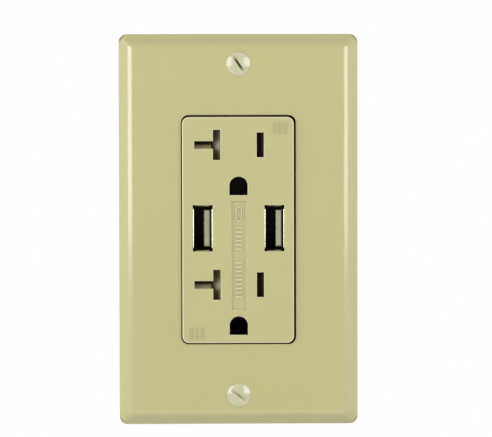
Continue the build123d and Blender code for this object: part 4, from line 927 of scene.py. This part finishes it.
def drum_choke():
    """A ferrite drum wound with two layers of enamelled copper wire."""
    low, high = box_mm("line_choke")
    radius, height = (high.z - low.z) / 2, high.y - low.y
    waist, flange, wire, per_turn = 2.2, 1.0, 0.27, 24
    rim = rounded_rim(radius, height, 0.2)
    rows = [(height, 0)] + rim
    rows += [(height - flange, radius - 0.05), (height - flange, waist), (flange, waist)]
    rows += [(flange, radius - 0.05)]
    rows += [(height - h, r) for h, r in reversed(rim)] + [(0, 0)]
    bm = bmesh.new()
    lathe(bm, rows, 48)
    place = facing_back((low.x + high.x) / 2, low.y, (low.z + high.z) / 2)
    make_piece("line_choke_core", bm, "choke", DEVICE, place, ["line_choke"])
    turns = (height - 2 * flange - 2 * wire) / (2 * wire)
    winding = bmesh.new()
    for layer_r in (waist + wire, waist + 2.8 * wire):
        points = []
        for k in range(int(turns * per_turn) + 1):
            angle = tau * k / per_turn
            along = flange + wire + 2 * wire * k / per_turn
            points.append((layer_r * cos(angle), layer_r * sin(angle), along))
        tube(winding, points, wire * 0.98, 8)
    copper = [FINISHES["copper"]]
    make_piece("line_choke_winding", winding, "choke", DEVICE, place, ["line_choke"], copper)


def leaded_package(node, slot, leads_per_side, lead_w, inset):
    """A moulded package with a dimple at its first lead and bent leads down both sides."""
    low, high = box_mm(node)
    body_low = Vector((low.x + inset, low.y + 0.15, low.z + 0.05))
    body_high = Vector((high.x - inset, high.y, high.z - 0.05))
    bm = box_shape(body_low, body_high, 0.12)
    dimple = bmesh.new()
    lathe(dimple, [(0.4, 0), (0.4, 0.35), (-0.12, 0.30), (-0.12, 0)], 20)
    dimple.transform(facing_back(body_low.x + 0.75, high.y, body_high.z - 0.75))
    bm = cut_with(bm, [dimple])
    pitch = (high.z - low.z) / leads_per_side
    lead_bottom, lead_top = (low.y + high.y) / 2 - 0.08, (low.y + high.y) / 2 + 0.08
    for k in range(leads_per_side):
        z0, z1 = (low.z + pitch * (k + 0.5) + step for step in (-lead_w, lead_w))
        for side, inner, edge in ((-1, body_low.x, low.x), (1, body_high.x, high.x)):
            x0, x1 = sorted((inner - side * 0.1, edge - side * 0.25))
            box_shape((x0, lead_bottom, z0), (x1, lead_top, z1), 0.02, bm=bm, index=1)
            x0, x1 = sorted((edge - side * 0.27, edge - side * 0.12))
            box_shape((x0, low.y, z0), (x1, lead_top, z1), 0.03, bm=bm, index=1)
    finishes = [MATERIALS[slot], FINISHES["solder"]]
    make_piece(f"{node}_detail", bm, slot, DEVICE, None, [node], finishes)


def axial_diode():
    """A black body with a pale band at one end, and leads bent down to the board."""
    low, high = box_mm("output_diode")
    radius, reach = (high.z - low.z) / 2, 0.75
    body = (high.x - low.x) - 2 * reach
    rim = rounded_rim(radius, body, 0.25)
    rows = [(body, 0)] + rim
    band = len(rows)
    rows += [(body - 0.9, radius), (body - 1.7, radius)]
    rows += [(body - h, r) for h, r in reversed(rim)]
    bm = bmesh.new()
    lathe(bm, rows + [(0, 0)], 32, lambda row, side: 2 if row == band else 0)
    centre_y, z = (low.y + high.y) / 2, (low.z + high.z) / 2
    bm.transform(plane_at((low.x + reach, centre_y, z), (0, 0, 1), (1, 0, 0)))
    down = Vector((0, low.y - centre_y, 0))
    for x, side in ((low.x + reach, -1), (high.x - reach, 1)):
        knee = Vector((x + side * (reach - 0.36), centre_y, z))
        path = [Vector((x - side * 0.2, centre_y, z)), knee - Vector((side * 0.12, 0, 0))]
        path += [knee + down * 0.12, knee + down]
        tube(bm, path, LEAD_R, 8, index=1)
    materials = [MATERIALS["chip"], FINISHES["solder"], FINISHES["stripe"]]
    make_piece("output_diode_detail", bm, "chip", DEVICE, None, ["output_diode"], materials)


def solder_joints():
    """Solder cones round the header's pins, on the outer face of each board."""
    low, high = box_mm("header_pins")
    board_back = box_mm("power_board")[1].y
    board_front = box_mm("usb_board")[0].y
    count, half_pin = 5, 0.36
    z = (low.z + high.z) / 2
    bm = bmesh.new()
    for k in range(count):
        x = low.x + half_pin + (high.x - low.x - 2 * half_pin) * k / (count - 1)
        for place in (facing_back(x, board_back, z), facing_room(x, board_front, z)):
            joint = bmesh.new()
            rows = [(0.5, 0), (0.5, 0.38), (0.3, 0.46), (0.12, 0.66), (0.0, 0.95), (0.0, 0)]
            lathe(joint, rows, 20)
            joint.transform(place)
            copy_into(bm, joint)
    make_piece("header_solder", bm, "nickel_steel", DEVICE, None, (), [FINISHES["solder"]])


def all_board_parts():
    transformer()
    capacitors()
    dipped_disc("varistor", "varistor_blue")
    dipped_disc("y_capacitor", "capacitor_blue")
    fuse()
    drum_choke()
    leaded_package("bridge_rectifier", "chip", 2, 0.45, 0.9)
    leaded_package("switching_chip", "chip", 4, 0.2, 0.6)
    leaded_package("usb_control_chip", "chip", 4, 0.18, 0.6)
    axial_diode()
    solder_joints()


all_screws()
all_springs()
all_board_parts()

# ---------------------------------------------------------------- camera, light and floor

VIEW_DISTANCE, VIEW_LEFT, VIEW_ABOVE, VIEW_ROLL = 0.75, 1.0, 2.0, -0.11
VIEW_TARGET = Vector((0.00222, -0.0029, 0.00319))
LENS_MM, SENSOR_MM = 187.4, 36.0


def make_camera():
    """Looks at the plate from a little above and to the left, through a long lens."""
    left, above = radians(VIEW_LEFT), radians(VIEW_ABOVE)
    back = Vector((-sin(left) * cos(above), -cos(left) * cos(above), sin(above)))
    data = bpy.data.cameras.new("camera")
    data.lens, data.sensor_width = LENS_MM, SENSOR_MM
    camera = bpy.data.objects.new("camera", data)
    camera.location = VIEW_TARGET + VIEW_DISTANCE * back
    turn = back.to_track_quat("Z", "Y").to_matrix() @ Matrix.Rotation(radians(VIEW_ROLL), 3, "Z")
    camera.rotation_euler = turn.to_euler()
    bpy.context.scene.collection.objects.link(camera)
    bpy.context.scene.camera = camera


def softbox(name, angle, distance, height, size, power):
    """An upright area light, angle degrees to the right of the camera's axis."""
    data = bpy.data.lights.new(name, "AREA")
    data.shape = "RECTANGLE"
    data.size, data.size_y = size
    data.energy = power
    light = bpy.data.objects.new(name, data)
    light.location = (distance * sin(radians(angle)), -distance * cos(radians(angle)), height)
    toward = Vector((-light.location.x, -light.location.y, 0))
    light.rotation_euler = toward.to_track_quat("-Z", "Y").to_euler()
    light.visible_camera = False
    bpy.context.scene.collection.objects.link(light)


def world_ramp(tree, value, stops):
    """Grey levels along a direction that runs from -1 to 1."""
    scaled = tree.nodes.new("ShaderNodeMapRange")
    scaled.inputs["From Min"].default_value = -1.0
    ramp = tree.nodes.new("ShaderNodeValToRGB")
    elements = ramp.color_ramp.elements
    while len(elements) < len(stops):
        elements.new(0.5)
    for element, (position, level) in zip(elements, stops):
        element.position = position
        element.color = (level, level, level, 1)
    tree.links.new(value, scaled.inputs["Value"])
    tree.links.new(scaled.outputs["Result"], ramp.inputs["Fac"])
    return ramp.outputs["Color"]


# The world's light: (0 to 1 along the direction, level), from below to above and from front to back.
LIGHT_BY_HEIGHT = ((0.0, 0.55), (0.5, 0.42), (0.85, 0.20))
LIGHT_BY_DEPTH = ((0.0, 0.25), (0.25, 0.8), (0.45, 2.2), (0.7, 1.3), (1.0, 1.0))
# Name, angle, distance, height, size and power, in degrees, metres and watts.
SOFTBOXES = (
    ("left_softbox", -52, 0.6, 0.165, (0.56, 0.40), 2.68),
    ("right_softbox", 44, 0.6, 0.165, (0.50, 0.40), 2.27),
    ("low_fill", 0, 0.28, -0.32, (0.6, 0.25), 2.0),
)


def make_world():
    """A white backdrop to the camera; the light it casts is dimmer overhead and in front."""
    world = bpy.data.worlds.new("studio")
    bpy.context.scene.world = world
    world.use_nodes = True
    tree = world.node_tree
    tree.nodes.clear()
    output = tree.nodes.new("ShaderNodeOutputWorld")
    seen = tree.nodes.new("ShaderNodeBackground")
    cast = tree.nodes.new("ShaderNodeBackground")
    choose = tree.nodes.new("ShaderNodeMixShader")
    path = tree.nodes.new("ShaderNodeLightPath")
    place = tree.nodes.new("ShaderNodeTexCoord")
    split = tree.nodes.new("ShaderNodeSeparateXYZ")
    both = tree.nodes.new("ShaderNodeMix")
    both.data_type, both.blend_type = "RGBA", "MULTIPLY"
    both.inputs["Factor"].default_value = 1.0
    seen.inputs["Color"].default_value = (1, 1, 1, 1)
    links = tree.links
    links.new(place.outputs["Generated"], split.inputs["Vector"])
    links.new(world_ramp(tree, split.outputs["Z"], LIGHT_BY_HEIGHT), both.inputs[6])
    links.new(world_ramp(tree, split.outputs["Y"], LIGHT_BY_DEPTH), both.inputs[7])
    links.new(both.outputs[2], cast.inputs["Color"])
    links.new(path.outputs["Is Camera Ray"], choose.inputs["Fac"])
    links.new(cast.outputs["Background"], choose.inputs[1])
    links.new(seen.outputs["Background"], choose.inputs[2])
    links.new(choose.outputs["Shader"], output.inputs["Surface"])


def make_floor():
    """A pale sheet of paper, a little below the plate."""
    low, high = cad_box
    half, z = 0.42, low.z - 0.065
    y = (low.y + high.y) / 2
    data = bpy.data.meshes.new("floor")
    corners = [(-half, y - half, z), (half, y - half, z), (half, y + half, z), (-half, y + half, z)]
    data.from_pydata(corners, [], [(0, 1, 2, 3)])
    floor = bpy.data.objects.new("floor", data)
    bpy.context.scene.collection.objects.link(floor)
    floor.data.materials.append(moulded_plastic("floor_paper", (0.86, 0.86, 0.85), 0.8, 0.002, 0.001))


make_camera()
make_world()
make_floor()
for light in SOFTBOXES:
    softbox(*light)
bpy.context.scene.view_settings.view_transform = "Standard"
